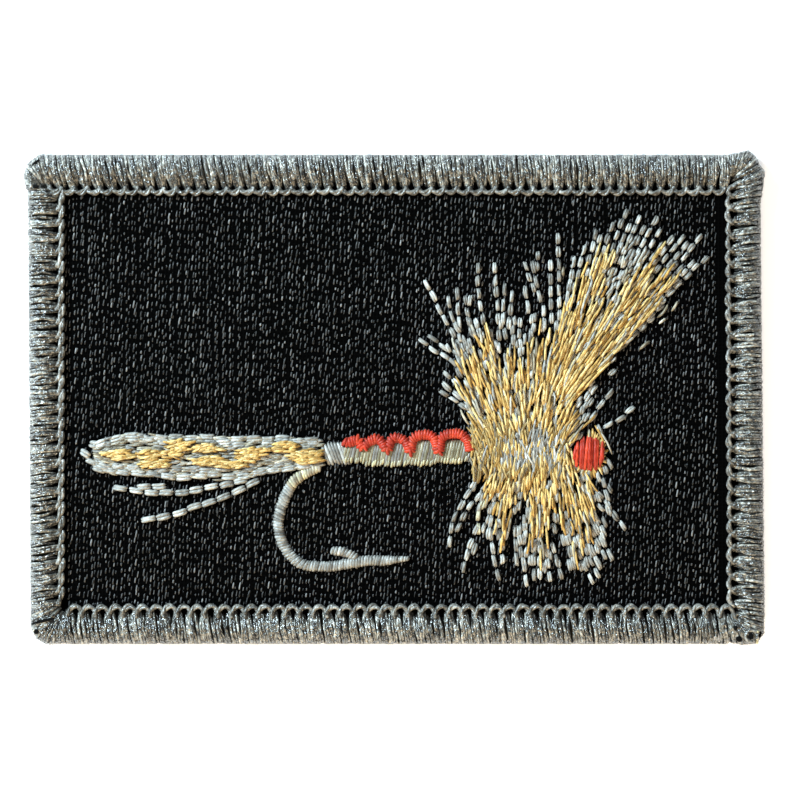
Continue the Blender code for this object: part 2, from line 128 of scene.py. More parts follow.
class NodeBench:
    """Places and links shader nodes of one material in a few words."""

    def __init__(self, name: str) -> None:
        """Start an empty material with a Principled surface.

        Args:
            name: Name of the material.
        """
        self.material = bpy.data.materials.new(name)
        self.material.use_nodes = True
        self.tree = self.material.node_tree
        self.shader = self.tree.nodes["Principled BSDF"]

    def add(self, kind: str, **settings: object) -> bpy.types.Node:
        """Place one node.

        Args:
            kind: Blender's name of the node type.
            **settings: Attributes to set on it.

        Returns:
            The new node.
        """
        node = self.tree.nodes.new(kind)
        for key, value in settings.items():
            setattr(node, key, value)
        return node

    def link(self, source: bpy.types.NodeSocket, target: bpy.types.NodeSocket) -> None:
        """Join an output to an input."""
        self.tree.links.new(source, target)

    def math(self, operation: str, *values: object) -> bpy.types.NodeSocket:
        """Place a Math node.

        Args:
            operation: Its operation, such as MULTIPLY.
            *values: Numbers or output sockets for its inputs, in order.

        Returns:
            Its output socket.
        """
        node = self.add("ShaderNodeMath", operation=operation)
        for socket, value in zip(node.inputs, values):
            if isinstance(value, bpy.types.NodeSocket):
                self.link(value, socket)
            else:
                socket.default_value = float(value)
        return node.outputs[0]

    def noise(self, vector: bpy.types.NodeSocket, scale: float, detail: float) -> bpy.types.NodeSocket:
        """Place a Noise texture on a vector.

        Args:
            vector: Where it is read.
            scale: Its spots per unit of the vector.
            detail: Its octaves.

        Returns:
            Its factor, around 0.5.
        """
        node = self.add("ShaderNodeTexNoise")
        node.inputs["Scale"].default_value = scale
        node.inputs["Detail"].default_value = detail
        self.link(vector, node.inputs["Vector"])
        return node.outputs["Fac"]

    def ramp(self, factor: bpy.types.NodeSocket, low: float, high: float) -> bpy.types.NodeSocket:
        """Carry a factor of 0 to 1 over to another range, clamped."""
        node = self.add("ShaderNodeMapRange")
        self.link(factor, node.inputs["Value"])
        node.inputs["To Min"].default_value = low
        node.inputs["To Max"].default_value = high
        return node.outputs["Result"]

    def paint(self, colour: bpy.types.NodeSocket | Colour, factor: bpy.types.NodeSocket) -> None:
        """Give the surface a colour times a grey factor.

        Args:
            colour: A colour, or an output socket that gives one.
            factor: The grey factor.
        """
        node = self.add("ShaderNodeVectorMath", operation="SCALE")
        if isinstance(colour, bpy.types.NodeSocket):
            self.link(colour, node.inputs[0])
        else:
            node.inputs[0].default_value = colour
        self.link(factor, node.inputs["Scale"])
        self.link(node.outputs[0], self.shader.inputs["Base Color"])

    def relief(self, height: bpy.types.NodeSocket, depth_mm: float) -> None:
        """Turn a height of 0 to 1 into bumps on the surface and on its coat.

        Args:
            height: The height.
            depth_mm: How far 1 stands above 0.
        """
        bump = self.add("ShaderNodeBump")
        bump.inputs["Strength"].default_value = 1.0
        bump.inputs["Distance"].default_value = depth_mm * MM
        self.link(height, bump.inputs["Height"])
        for socket in ("Normal", "Coat Normal"):
            self.link(bump.outputs["Normal"], self.shader.inputs[socket])


@dataclass(frozen=True)
class ThreadFinish:
    """Twisted, glossy embroidery thread, coloured by each stitch's own tint."""

    name: str
    slot: Slot
    roughness: float = 0.34
    specular: float = 0.5
    sheen: float = 0.12
    anisotropy: float = 0.45
    coat: float = 0.0
    sheen_roughness: float = 0.4
    coat_roughness: float = 0.14
    twist_mm: float = 0.9
    plies: int = 2
    ply_depth_mm: float = 0.03
    fibre_depth_mm: float = 0.015
    facet_depth_mm: float = 0.03
    facets_per_mm: float = 3.0
    # Fibre streaks: cells a millimetre along the thread, and cells in one turn of the twist
    streaks_per_mm: float = 0.8
    streaks_per_turn: float = 9.0
    # Painted glints: light and dark dashes painted into the colour as highlights and shade along the thread;
    #     their contrast, cells a millimetre, cells round the thread, darkest factor
    painted_glint: float = 0.30
    painted_glint_per_mm: float = 1.4
    painted_glint_round: float = 1.5
    darkest: float = 0.15

    def material(self) -> bpy.types.Material:
        """Build the nodes, on U along the thread in millimetres and V once round it.

        The turns are U over the twist plus V times the plies, and the ply ridges are the absolute sine of pi
        times the turns, so they run as a helix. Fibres are noise stretched along the thread, facets are noise
        in space. The colour is the stitch's tint times the dashes' lightness times the fibres' 0.8 to 1.2.
        The dashes are painted glints, highlights and shade painted into the colour. Their lightness is 1 plus
        five times the painted glint times their noise less 0.5, and never under the darkest.

        Returns:
            The material.
        """
        bench = NodeBench(self.name)
        shader = bench.shader
        shader.inputs["Specular IOR Level"].default_value = self.specular
        shader.inputs["Sheen Weight"].default_value = self.sheen
        shader.inputs["Sheen Roughness"].default_value = self.sheen_roughness
        shader.inputs["Anisotropic"].default_value = self.anisotropy
        shader.inputs["Coat Weight"].default_value = self.coat
        shader.inputs["Coat Roughness"].default_value = self.coat_roughness
        tangent = bench.add("ShaderNodeTangent", direction_type="UV_MAP", uv_map=THREAD_UV)
        bench.link(tangent.outputs["Tangent"], shader.inputs["Tangent"])
        lie = bench.add("ShaderNodeUVMap", uv_map=THREAD_UV)
        parts = bench.add("ShaderNodeSeparateXYZ")
        bench.link(lie.outputs["UV"], parts.inputs[0])
        turns = bench.math(
            "ADD",
            bench.math("DIVIDE", parts.outputs[0], self.twist_mm),
            bench.math("MULTIPLY", parts.outputs[1], self.plies),
        )
        ply = bench.math("ABSOLUTE", bench.math("SINE", bench.math("MULTIPLY", turns, math.pi)))
        streak_at = bench.add("ShaderNodeCombineXYZ")
        bench.link(bench.math("MULTIPLY", parts.outputs[0], self.streaks_per_mm), streak_at.inputs[0])
        bench.link(bench.math("MULTIPLY", turns, self.streaks_per_turn), streak_at.inputs[1])
        fibres = bench.noise(streak_at.outputs[0], 1.0, 2.0)
        place = bench.add("ShaderNodeTexCoord")
        facets = bench.noise(place.outputs["Object"], self.facets_per_mm / MM, 2.0)
        height = bench.math("MULTIPLY", ply, self.ply_depth_mm)
        for wave, depth in ((fibres, self.fibre_depth_mm), (facets, self.facet_depth_mm)):
            height = bench.math("ADD", height, bench.math("MULTIPLY", wave, depth))
        bench.relief(height, 1.0)
        dash_at = bench.add("ShaderNodeCombineXYZ")
        bench.link(bench.math("MULTIPLY", parts.outputs[0], self.painted_glint_per_mm), dash_at.inputs[0])
        bench.link(bench.math("MULTIPLY", parts.outputs[1], self.painted_glint_round), dash_at.inputs[1])
        dashes = bench.noise(dash_at.outputs[0], 1.0, 2.0)
        # Painted glints: the dashes lighten and darken the colour as painted highlights and shade
        glint = bench.math("MULTIPLY", bench.math("SUBTRACT", dashes, 0.5), 5 * self.painted_glint)
        light = bench.math("MAXIMUM", bench.math("ADD", 1.0, glint), self.darkest)
        tint = bench.add("ShaderNodeAttribute", attribute_name=TINT)
        streaked = bench.math("MULTIPLY", light, bench.ramp(fibres, 0.8, 1.2))
        bench.paint(tint.outputs["Color"], streaked)
        rough = bench.ramp(fibres, self.roughness - 0.1, self.roughness + 0.12)
        bench.link(rough, shader.inputs["Roughness"])
        return bench.material


@dataclass(frozen=True)
class WovenFinish:
    """Plain cloth whose warp and weft show as a fine relief."""

    name: str
    slot: Slot
    colour: Colour
    warp_pitch_mm: float
    weft_pitch_mm: float
    depth_mm: float
    roughness: float = 0.8
    sheen: float = 0.2
    specular: float = 0.25
    fuzz_per_mm: float = 6.0
    fuzz_depth: float = 0.5

    def material(self) -> bpy.types.Material:
        """Build the nodes: the height is the higher of two sines, one across X and one across Y.
        The colour darkens to 0.6 of itself in the low places, as painted shade between the yarns.

        Returns:
            The material.
        """
        bench = NodeBench(self.name)
        shader = bench.shader
        shader.inputs["Sheen Weight"].default_value = self.sheen
        shader.inputs["Specular IOR Level"].default_value = self.specular
        place = bench.add("ShaderNodeTexCoord")
        parts = bench.add("ShaderNodeSeparateXYZ")
        bench.link(place.outputs["Object"], parts.inputs[0])
        waves = []
        for axis, pitch in ((0, self.warp_pitch_mm), (1, self.weft_pitch_mm)):
            phase = bench.math("MULTIPLY", parts.outputs[axis], 2 * math.pi / (pitch * MM))
            waves.append(bench.math("ADD", bench.math("MULTIPLY", bench.math("SINE", phase), 0.5), 0.5))
        weave = bench.math("MAXIMUM", *waves)
        fuzz = bench.noise(place.outputs["Object"], self.fuzz_per_mm / MM, 3.0)
        bench.relief(bench.math("ADD", weave, bench.math("MULTIPLY", fuzz, self.fuzz_depth)), self.depth_mm)
        # The colour follows the weave's height, painted shade between the yarns, times a random fuzz tone
        shade = bench.math("MULTIPLY", bench.ramp(weave, 0.6, 1.1), bench.ramp(fuzz, 0.6, 1.4))
        bench.paint(self.colour, shade)
        rough = bench.ramp(fuzz, self.roughness - 0.15, self.roughness + 0.15)
        bench.link(rough, shader.inputs["Roughness"])
        return bench.material


@dataclass(frozen=True)
class FilmFinish:
    """Milky heat-seal film, pressed against the threads under it."""

    name: str = "milky_film"
    slot: Slot = Slot.FILM
    colour: Colour = (0.62, 0.62, 0.60)
    opacity: float = 0.55
    ripples_per_mm: float = 0.35
    ripple_depth_mm: float = 0.25
    grain_per_mm: float = 5.0
    grain_depth: float = 0.15

    def material(self) -> bpy.types.Material:
        """Build the nodes: low ripples a few millimetres long, and fine orange-peel grain.

        Returns:
            The material.
        """
        bench = NodeBench(self.name)
        shader = bench.shader
        shader.inputs["Specular IOR Level"].default_value = 0.5
        shader.inputs["Alpha"].default_value = self.opacity
        place = bench.add("ShaderNodeTexCoord")
        ripples = bench.noise(place.outputs["Object"], self.ripples_per_mm / MM, 3.0)
        grain = bench.noise(place.outputs["Object"], self.grain_per_mm / MM, 2.0)
        height = bench.math("ADD", ripples, bench.math("MULTIPLY", grain, self.grain_depth))
        bench.relief(height, self.ripple_depth_mm)
        bench.paint(self.colour, bench.ramp(ripples, 0.85, 1.1))
        bench.link(bench.ramp(grain, 0.18, 0.42), shader.inputs["Roughness"])
        return bench.material


@dataclass(frozen=True)
class FloorFinish:
    """Plain pale table, lit softly from inside so that shadows on it stay faint."""

    name: str = "pale_floor"
    colour: Colour = (0.86, 0.86, 0.86)
    glow: float = 0.60

    def material(self) -> bpy.types.Material:
        """Build the nodes: an even matte grey-white with a faint grain.

        Returns:
            The material.
        """
        bench = NodeBench(self.name)
        bench.shader.inputs["Specular IOR Level"].default_value = 0.1
        bench.shader.inputs["Roughness"].default_value = 0.9
        bench.shader.inputs["Emission Color"].default_value = (1.0, 1.0, 1.0, 1.0)
        bench.shader.inputs["Emission Strength"].default_value = self.glow
        place = bench.add("ShaderNodeTexCoord")
        grain = bench.noise(place.outputs["Object"], 2.0 / MM, 2.0)
        bench.paint(self.colour, bench.ramp(grain, 0.99, 1.01))
        return bench.material


@dataclass
class Strands:
    """A batch of threads of one point count, as whole arrays."""

    centres: Array
    half_widths: Array
    half_heights: Array
    tints: Array
    sideways: Array | None = None

    # How far a pole stands past its ring, in half widths
    POLE_REACH = 0.6
    # U starts at the fraction of the thread's number times the step, spread over these millimetres
    U_STEP = 0.618
    U_SPREAD = 7.0

    @staticmethod
    def joined(batches: list["Strands"]) -> "Strands":
        """Put batches of the same point count together.

        Args:
            batches: The batches, none with side vectors of its own.

        Returns:
            One batch.
        """
        fields = ("centres", "half_widths", "half_heights", "tints")
        return Strands(*(np.concatenate([getattr(batch, field) for batch in batches]) for field in fields))

    def surface(self, sides: int) -> tuple[Array, Array, Array, Array, Array]:
        """Carry an elliptical ring along every thread, and close each end with a pole.

        A ring point is the centre, plus the side vector times the half width times the cosine of its turn,
        plus the up vector times the half height times the sine of its turn. The side vector is level and
        square to the thread unless one is given, and the up vector is square to both. U is the length along
        the thread, and starts at a place of its own on each, so that no two threads look the same.

        Args:
            sides: Points round a ring.

        Returns:
            Points, quads, triangles, and the UV pairs of the quads' and the triangles' corners.
        """
        count, length = self.centres.shape[:2]
        run = np.gradient(self.centres, axis=1)
        run /= np.linalg.norm(run, axis=2, keepdims=True)
        side = self.sideways
        if side is None:
            side = np.cross(np.array((0.0, 0.0, 1.0)), run)
        side = side - (side * run).sum(2, keepdims=True) * run
        side /= np.linalg.norm(side, axis=2, keepdims=True)
        up = np.cross(run, side)
        turn = 2 * math.pi * np.arange(sides) / sides
        across = side[:, :, None] * np.cos(turn)[:, None] * self.half_widths[:, :, None, None]
        lift = up[:, :, None] * np.sin(turn)[:, None] * self.half_heights[:, :, None, None]
        rings = (self.centres[:, :, None] + across + lift).reshape(count, length * sides, 3)
        reach = self.POLE_REACH * self.half_widths[:, [0, -1], None]
        poles = self.centres[:, [0, -1]] + run[:, [0, -1]] * reach * np.array((-1.0, 1.0))[:, None]
        points = np.concatenate([rings, poles], axis=1)
        per_thread = length * sides + 2
        i, j = np.meshgrid(np.arange(length - 1), np.arange(sides), indexing="ij")
        following = (j + 1) % sides
        corners = (i * sides + j, i * sides + following, (i + 1) * sides + following, (i + 1) * sides + j)
        quad = np.stack(corners, axis=-1).reshape(-1, 4)
        ring = np.arange(sides)
        after = (ring + 1) % sides
        last = (length - 1) * sides
        start_cap = np.stack([np.full(sides, length * sides), after, ring], axis=-1)
        end_cap = np.stack([np.full(sides, length * sides + 1), last + ring, last + after], axis=-1)
        triangle = np.concatenate([start_cap, end_cap])
        base = (np.arange(count) * per_thread)[:, None, None]
        quads = (quad[None] + base).reshape(-1, 4)
        triangles = (triangle[None] + base).reshape(-1, 3)
        steps = np.linalg.norm(np.diff(self.centres, axis=1), axis=2)
        along = np.concatenate([np.zeros((count, 1)), np.cumsum(steps, axis=1)], axis=1)
        along += np.modf(np.arange(count) * self.U_STEP)[0][:, None] * self.U_SPREAD
        u_ends = np.stack([along[:, i], along[:, i], along[:, i + 1], along[:, i + 1]], axis=-1)
        v_ends = np.stack([j, j + 1, j + 1, j], axis=-1) / sides
        quad_uv = np.stack([u_ends, np.broadcast_to(v_ends, u_ends.shape)], axis=-1).reshape(-1, 2)
        cap_v = np.stack([ring + 0.5, ring + 1, ring], axis=-1) / sides
        cap_v = np.concatenate([cap_v, np.stack([ring + 0.5, ring, ring + 1], axis=-1) / sides])
        cap_u = np.concatenate([np.zeros((sides, 3), int), np.full((sides, 3), length - 1)])
        cap_along = along[:, cap_u]
        cap_uv = np.stack([cap_along, np.broadcast_to(cap_v, cap_along.shape)], axis=-1).reshape(-1, 2)
        return points.reshape(-1, 3), quads, triangles, quad_uv, cap_uv

    def build(self, name: str, finish: ThreadFinish, sides: int = 6) -> bpy.types.Object:
        """Make one object of all the threads.

        Args:
            name: The piece's name.
            finish: The thread finish.
            sides: Points round a thread.

        Returns:
            The object.
        """
        points, quads, triangles, quad_uv, cap_uv = self.surface(sides)
        count, length = self.centres.shape[:2]
        tints = np.repeat(self.tints, length * sides + 2, axis=0)
        tints = np.concatenate([tints, np.ones((len(points), 1))], axis=1)
        return fill_mesh(name, points, quads, triangles, np.concatenate([quad_uv, cap_uv]), tints, finish)


def rays(angles: Array) -> Array:
    """Unit vectors in the plane.

    Args:
        angles: Angles from the X axis, in radians.

    Returns:
        X and Y of each.
    """
    return np.stack([np.cos(angles), np.sin(angles)], axis=-1)


def grid_quads(index: Array) -> Array:
    """Join a grid of point numbers into quads.

    Args:
        index: Point numbers by column and row for faces that look up, transposed for faces that look down.

    Returns:
        Four corner numbers a row.
    """
    return np.stack([index[:-1, :-1], index[1:, :-1], index[1:, 1:], index[:-1, 1:]], axis=-1).reshape(-1, 4)


def fill_mesh(
    name: str,
    points: Array,
    quads: Array,
    triangles: Array,
    uv: Array | None,
    tints: Array | None,
    finish: ThreadFinish | WovenFinish | FilmFinish | FloorFinish,
) -> bpy.types.Object:
    """Put whole arrays into a new mesh object at the origin.

    Args:
        name: The object's name.
        points: Points in millimetres.
        quads: Four corner numbers a row.
        triangles: Three corner numbers a row.
        uv: UV pairs of the corners, quads first, or None.
        tints: A colour with alpha for each point, or None.
        finish: What it is made of.

    Returns:
        The object, smooth shaded and dressed.
    """
    mesh = bpy.data.meshes.new(name)
    mesh.vertices.add(len(points))
    mesh.vertices.foreach_set("co", (points * MM).astype(np.float32).ravel())
    corners = np.concatenate([quads.ravel(), triangles.ravel()])
    mesh.loops.add(len(corners))
    mesh.loops.foreach_set("vertex_index", corners.astype(np.int32))
    mesh.polygons.add(len(quads) + len(triangles))
    starts = np.concatenate([np.arange(len(quads)) * 4, quads.size + np.arange(len(triangles)) * 3])
    mesh.polygons.foreach_set("loop_start", starts.astype(np.int32))
    mesh.update(calc_edges=True)
    mesh.polygons.foreach_set("use_smooth", np.ones(len(mesh.polygons), bool))
    if uv is not None:
        layer = mesh.uv_layers.new(name=THREAD_UV)
        layer.data.foreach_set("uv", uv.astype(np.float32).ravel())
    if tints is not None:
        attribute = mesh.color_attributes.new(TINT, "FLOAT_COLOR", "POINT")
        attribute.data.foreach_set("color", tints.astype(np.float32).ravel())
    mesh.materials.append(finish.material())
    piece = bpy.data.objects.new(name, mesh)
    bpy.context.scene.collection.objects.link(piece)
    LOG.info("%-32s %7d faces", name, len(mesh.polygons))
    return piece


def settle(piece: bpy.types.Object, slot: Slot, *nodes: str) -> bpy.types.Object:
    """Let a piece ride the patch and stand for its CAD nodes.

    Args:
        piece: The finished piece.
        slot: Its slot in the record; not used.
        *nodes: The CAD nodes that it replaces.

    Returns:
        The piece.
    """
    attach(piece, BODY)
    if nodes:
        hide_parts(*nodes)
    return piece


def drawn_tints(
    rng: np.random.Generator, palette: tuple[Colour, ...], count: int, spread: float = 0.12
) -> Array:
    """Draw a colour for each thread.

    Args:
        rng: Seeded random numbers.
        palette: Colours to draw from.
        count: How many.
        spread: How far a thread's lightness strays from its colour.

    Returns:
        One colour a row.
    """
    colours = np.array(palette)[rng.integers(0, len(palette), count)]
    return colours * (1.0 + spread * rng.standard_normal((count, 1))).clip(0.5, 1.6)


def smooth_path(points: Line, samples: int) -> Array:
    """Sample a smooth line through a few points.

    Each stretch is a cubic whose slope at a point is half the step between its two neighbours.

    Args:
        points: The points, in order.
        samples: How many samples to return, evenly spaced in length.

    Returns:
        Samples as X and Y rows.
    """
    knots = np.array(points, float)
    slopes = np.gradient(knots, axis=0) if len(knots) > 2 else np.repeat(np.diff(knots, axis=0), 2, axis=0)
    t = np.linspace(0.0, len(knots) - 1.0, 40 * (len(knots) - 1) + 1)
    span = np.minimum(t.astype(int), len(knots) - 2)
    s = (t - span)[:, None]
    fine = (
        (2 * s**3 - 3 * s**2 + 1) * knots[span]
        + (s**3 - 2 * s**2 + s) * slopes[span]
        + (3 * s**2 - 2 * s**3) * knots[span + 1]
        + (s**3 - s**2) * slopes[span + 1]
    )
    reach = np.concatenate([[0.0], np.cumsum(np.linalg.norm(np.diff(fine, axis=0), axis=1))])
    wanted = np.linspace(0.0, reach[-1], samples)
    return np.stack([np.interp(wanted, reach, fine[:, axis]) for axis in (0, 1)], axis=-1)


def path_length(points: Line) -> float:
    """Length of the smooth line through a few points."""
    return float(np.linalg.norm(np.diff(smooth_path(points, 80), axis=0), axis=1).sum())


@dataclass(frozen=True)
class StitchForm:
    """Size and height of one kind of stitch."""

    width: float
    height: float
    crest: float
    dive: float = HEIGHTS.cloth - 0.05
    points: int = 7
    squareness: float = 4.0
    sway: float = 0.03
    plies: int = 1
    ply_spread: float = 0.21
    jitter: float = 0.05
    # How far the lightness, the height in millimetres and the girth stray, and a thread's girth at its ends
    tint_stray: float = 0.08
    height_stray: float = 0.03
    girth_stray: float = 0.08
    end_girth: float = 0.45

    def lay(self, rng: np.random.Generator, starts: Array, ends: Array, tints: Array) -> Strands:
        """Arch a thread from each start to each end.

        With t from 0 to 1 along the stitch, its fullness is 1 minus the given power of the size of 2t - 1.
        The thread rises from the dive level to its crest with the fullness to the power 0.7, and its width
        and height grow with the fullness. Its plies lie side by side, each slipped a little along the stitch.

        Args:
            rng: Seeded random numbers.
            starts: Where the stitches leave the cloth.
            ends: Where they enter it again.
            tints: Their colours.

        Returns:
            The threads.
        """
        run = ends - starts
        normal = np.stack([-run[:, 1], run[:, 0]], axis=-1) / np.linalg.norm(run, axis=1, keepdims=True)
        if self.plies > 1:
            offset = self.ply_spread * (np.tile(np.arange(self.plies), len(starts)) - (self.plies - 1) / 2)
            starts, ends, normal, tints = (
                np.repeat(each, self.plies, axis=0) for each in (starts, ends, normal, tints)
            )
            along = normal[:, ::-1] * np.array((1.0, -1.0))
            slip = along * self.jitter * rng.standard_normal((len(starts), 1))
            starts = starts + normal * offset[:, None] + slip
            ends = ends + normal * offset[:, None] + slip
            tints = tints * (1 + self.tint_stray * rng.standard_normal((len(tints), 1)))
        count = len(starts)
        t = (1.0 - np.cos(math.pi * np.linspace(0.0, 1.0, self.points))) / 2
        full = 1.0 - np.abs(2 * t - 1) ** self.squareness
        flat = starts[:, None] + (ends - starts)[:, None] * t[:, None]
        bow = self.sway * rng.standard_normal((count, 1, 1)) * np.sin(math.pi * t)[:, None]
        flat = flat + normal[:, None] * bow
        middle = self.crest - self.height / 2 - self.height_stray
        middle = middle + self.height_stray * rng.standard_normal((count, 1)).clip(-1, 1)
        level = self.dive + (middle - self.dive) * full ** 0.7
        centres = np.concatenate([flat, level[:, :, None]], axis=-1)
        girth = self.end_girth + (1 - self.end_girth) * full
        girth = girth * (1.0 + self.girth_stray * rng.standard_normal((count, 1)).clip(-2, 2))
        return Strands(centres, self.width / 2 * girth, self.height / 2 * girth, tints)


# Lower stitches lie on the cloth, upper ones on the lower ones
GRAIN = StitchForm(
    width=0.31, height=0.30, crest=HEIGHTS.lower, squareness=4.0, sway=0.05, plies=2, ply_spread=0.18
)
BROAD_GRAIN = StitchForm(
    width=0.38, height=0.34, crest=HEIGHTS.lower + 0.06, squareness=8.0, sway=0.04, plies=2, ply_spread=0.27
)
FINE_GRAIN = StitchForm(width=0.26, height=0.22, crest=HEIGHTS.lower, sway=0.06)
LONG_UNDER = StitchForm(width=0.28, height=0.24, crest=HEIGHTS.lower + 0.12, sway=0.08)
LONG_OVER = StitchForm(width=0.24, height=0.20, crest=HEIGHTS.upper, sway=0.08)
SATIN = StitchForm(width=0.42, height=0.26, crest=HEIGHTS.lower, squareness=5.0, sway=0.02)
OVER_SATIN = StitchForm(width=0.40, height=0.26, crest=HEIGHTS.upper, squareness=5.0, sway=0.02)


def running_stitches(
    rng: np.random.Generator, paths: tuple[Line, ...], stitch: float, gap: float = 0.26
) -> tuple[Array, Array]:
    """Break lines into running stitches, from their tips to their roots.

    Args:
        rng: Seeded random numbers.
        paths: Points of each line.
        stitch: Length of a stitch with its gap.
        gap: Bare cloth between two stitches.

    Returns:
        Starts and ends of the stitches.
    """
    starts, ends = [], []
    for path in paths:
        count = max(1, round(path_length(path) / stitch))
        line = smooth_path(path, 12 * count + 1)[::12]
        run = np.diff(line, axis=0)
        shrink = run / np.linalg.norm(run, axis=1, keepdims=True) * gap / 2
        jitter = 0.05 * rng.standard_normal((count, 2))
        starts.append(line[:-1] + shrink + jitter)
        ends.append(line[1:] - shrink + jitter)
    return np.concatenate(starts), np.concatenate(ends)


def satin_stitches(
    rng: np.random.Generator, path: Line, widths: tuple[float, ...], pitch: float, lean: float
) -> tuple[Array, Array]:
    """Cross a line with stitches side by side.

    Args:
        rng: Seeded random numbers.
        path: Points of the middle line.
        widths: Widths of the column, evenly spread along it.
        pitch: Distance from stitch to stitch.
        lean: Shift of the left end along the line, with the right end shifted back as much.

    Returns:
        Starts and ends of the stitches.
    """
    count = max(2, round(path_length(path) / pitch))
    line = smooth_path(path, count)
    run = np.gradient(line, axis=0)
    run /= np.linalg.norm(run, axis=1, keepdims=True)
    left = np.stack([-run[:, 1], run[:, 0]], axis=-1)
    wide = np.interp(np.linspace(0, 1, count), np.linspace(0, 1, len(widths)), widths)
    wide = wide[:, None] / 2 * (1 + 0.05 * rng.standard_normal((count, 2)))
    starts = line + left * wide[:, :1] + run * lean
    ends = line - left * wide[:, 1:] - run * lean
    return starts, ends


@dataclass(frozen=True)
class FanBed:
    """Radial stitches that fill a fan about a hub out to a ragged rim."""

    hub: Point
    rim: Line
    inner: float
    spacing: float
    stitch: Point
    stray: float
    cover: float = 1.0
    valley: float = 1.0
    gap: float = 0.12
    spared: tuple[float, float, float] = (20.1, -5.85, 1.75)

    def stitches(self, rng: np.random.Generator) -> tuple[Array, Array]:
        """Lay rows of stitches on rays about the hub, each row starting at its own phase.

        Half way between two tips of the rim, the fan reaches the valley's share of the shorter one. The
        spared disc, given by its middle and radius, stays free for the head.

        Args:
            rng: Seeded random numbers.

        Returns:
            Starts and ends.
        """
        angles, radii = np.array(self.rim).T
        between = self.valley * np.minimum(radii[1:], radii[:-1])
        angles = np.concatenate([angles, (angles[1:] + angles[:-1]) / 2])
        radii = np.concatenate([radii, between])
        order = np.argsort(angles)
        wide = np.ptp(angles)
        middle = 0.5 * (radii.mean() + self.inner)
        rows = max(2, round(math.radians(wide) * middle / self.spacing))
        longest = radii.max() - self.inner
        least, most = self.stitch
        columns = int(longest / least) + 2
        angle = angles.min() + wide * (np.arange(rows) + 0.5) / rows
        angle = angle[:, None] + self.stray * 0.35 * rng.standard_normal((rows, columns))
        length = rng.uniform(least, most, (rows, columns))
        reach = self.inner + np.cumsum(length, axis=1) - length * rng.uniform(0.2, 1.0, (rows, 1))
        limit = np.interp(angle, angles[order], radii[order])
        inside = (reach + 0.75 * length < limit) & (reach > self.inner)
        inside &= rng.random((rows, columns)) < self.cover
        angle, length, reach = angle[inside], length[inside], reach[inside]
        turn = np.radians(angle)
        tilt = turn + np.radians(self.stray * rng.standard_normal(len(turn)))
        starts = np.array(self.hub) + rays(turn) * reach[:, None]
        ends = starts + rays(tilt) * (length[:, None] - self.gap)
        middle_of_head = np.array(self.spared[:2])
        clear = np.ones(len(starts), bool)
        for share in (0.0, 0.5, 1.0):
            at = starts + (ends - starts) * share
            clear &= np.linalg.norm(at - middle_of_head, axis=1) > self.spared[2]
        return starts[clear], ends[clear]


@dataclass(frozen=True)
class RowBed:
    """Level stitches in rows that follow two edges."""

    upper_edge: Line
    lower_edge: Line
    rows: int
    stitch: Point
    stray: float
    cover: float = 1.0
    band: Point = (0.0, 1.0)

    def stitches(self, rng: np.random.Generator) -> tuple[Array, Array]:
        """Lay each row at its own share of the way from the lower edge to the upper one.

        Args:
            rng: Seeded random numbers.

        Returns:
            Starts and ends.
        """
        upper = np.array(sorted(self.upper_edge))
        lower = np.array(sorted(self.lower_edge))
        left, right = lower[0, 0], lower[-1, 0]
        least, most = self.stitch
        columns = int((right - left) / least) + 2
        share = np.linspace(*self.band, self.rows)[:, None] + 0.03 * rng.standard_normal((self.rows, columns))
        length = rng.uniform(least, most, (self.rows, columns))
        start = left + np.cumsum(length, axis=1) - length * rng.uniform(0.3, 1.0, (self.rows, 1))
        end = start + length - 0.1
        keep = (start > left) & (end < right) & (rng.random((self.rows, columns)) < self.cover)
        ends_y = []
        for x in (start, end):
            top = np.interp(x, upper[:, 0], upper[:, 1])
            foot = np.interp(x, lower[:, 0], lower[:, 1])
            ends_y.append(foot + (top - foot) * share)
        shift = self.stray * rng.standard_normal(start.shape)
        starts = np.stack([start, ends_y[0] - shift], axis=-1)[keep]
        ends = np.stack([end, ends_y[1] + shift], axis=-1)[keep]
        return starts, ends


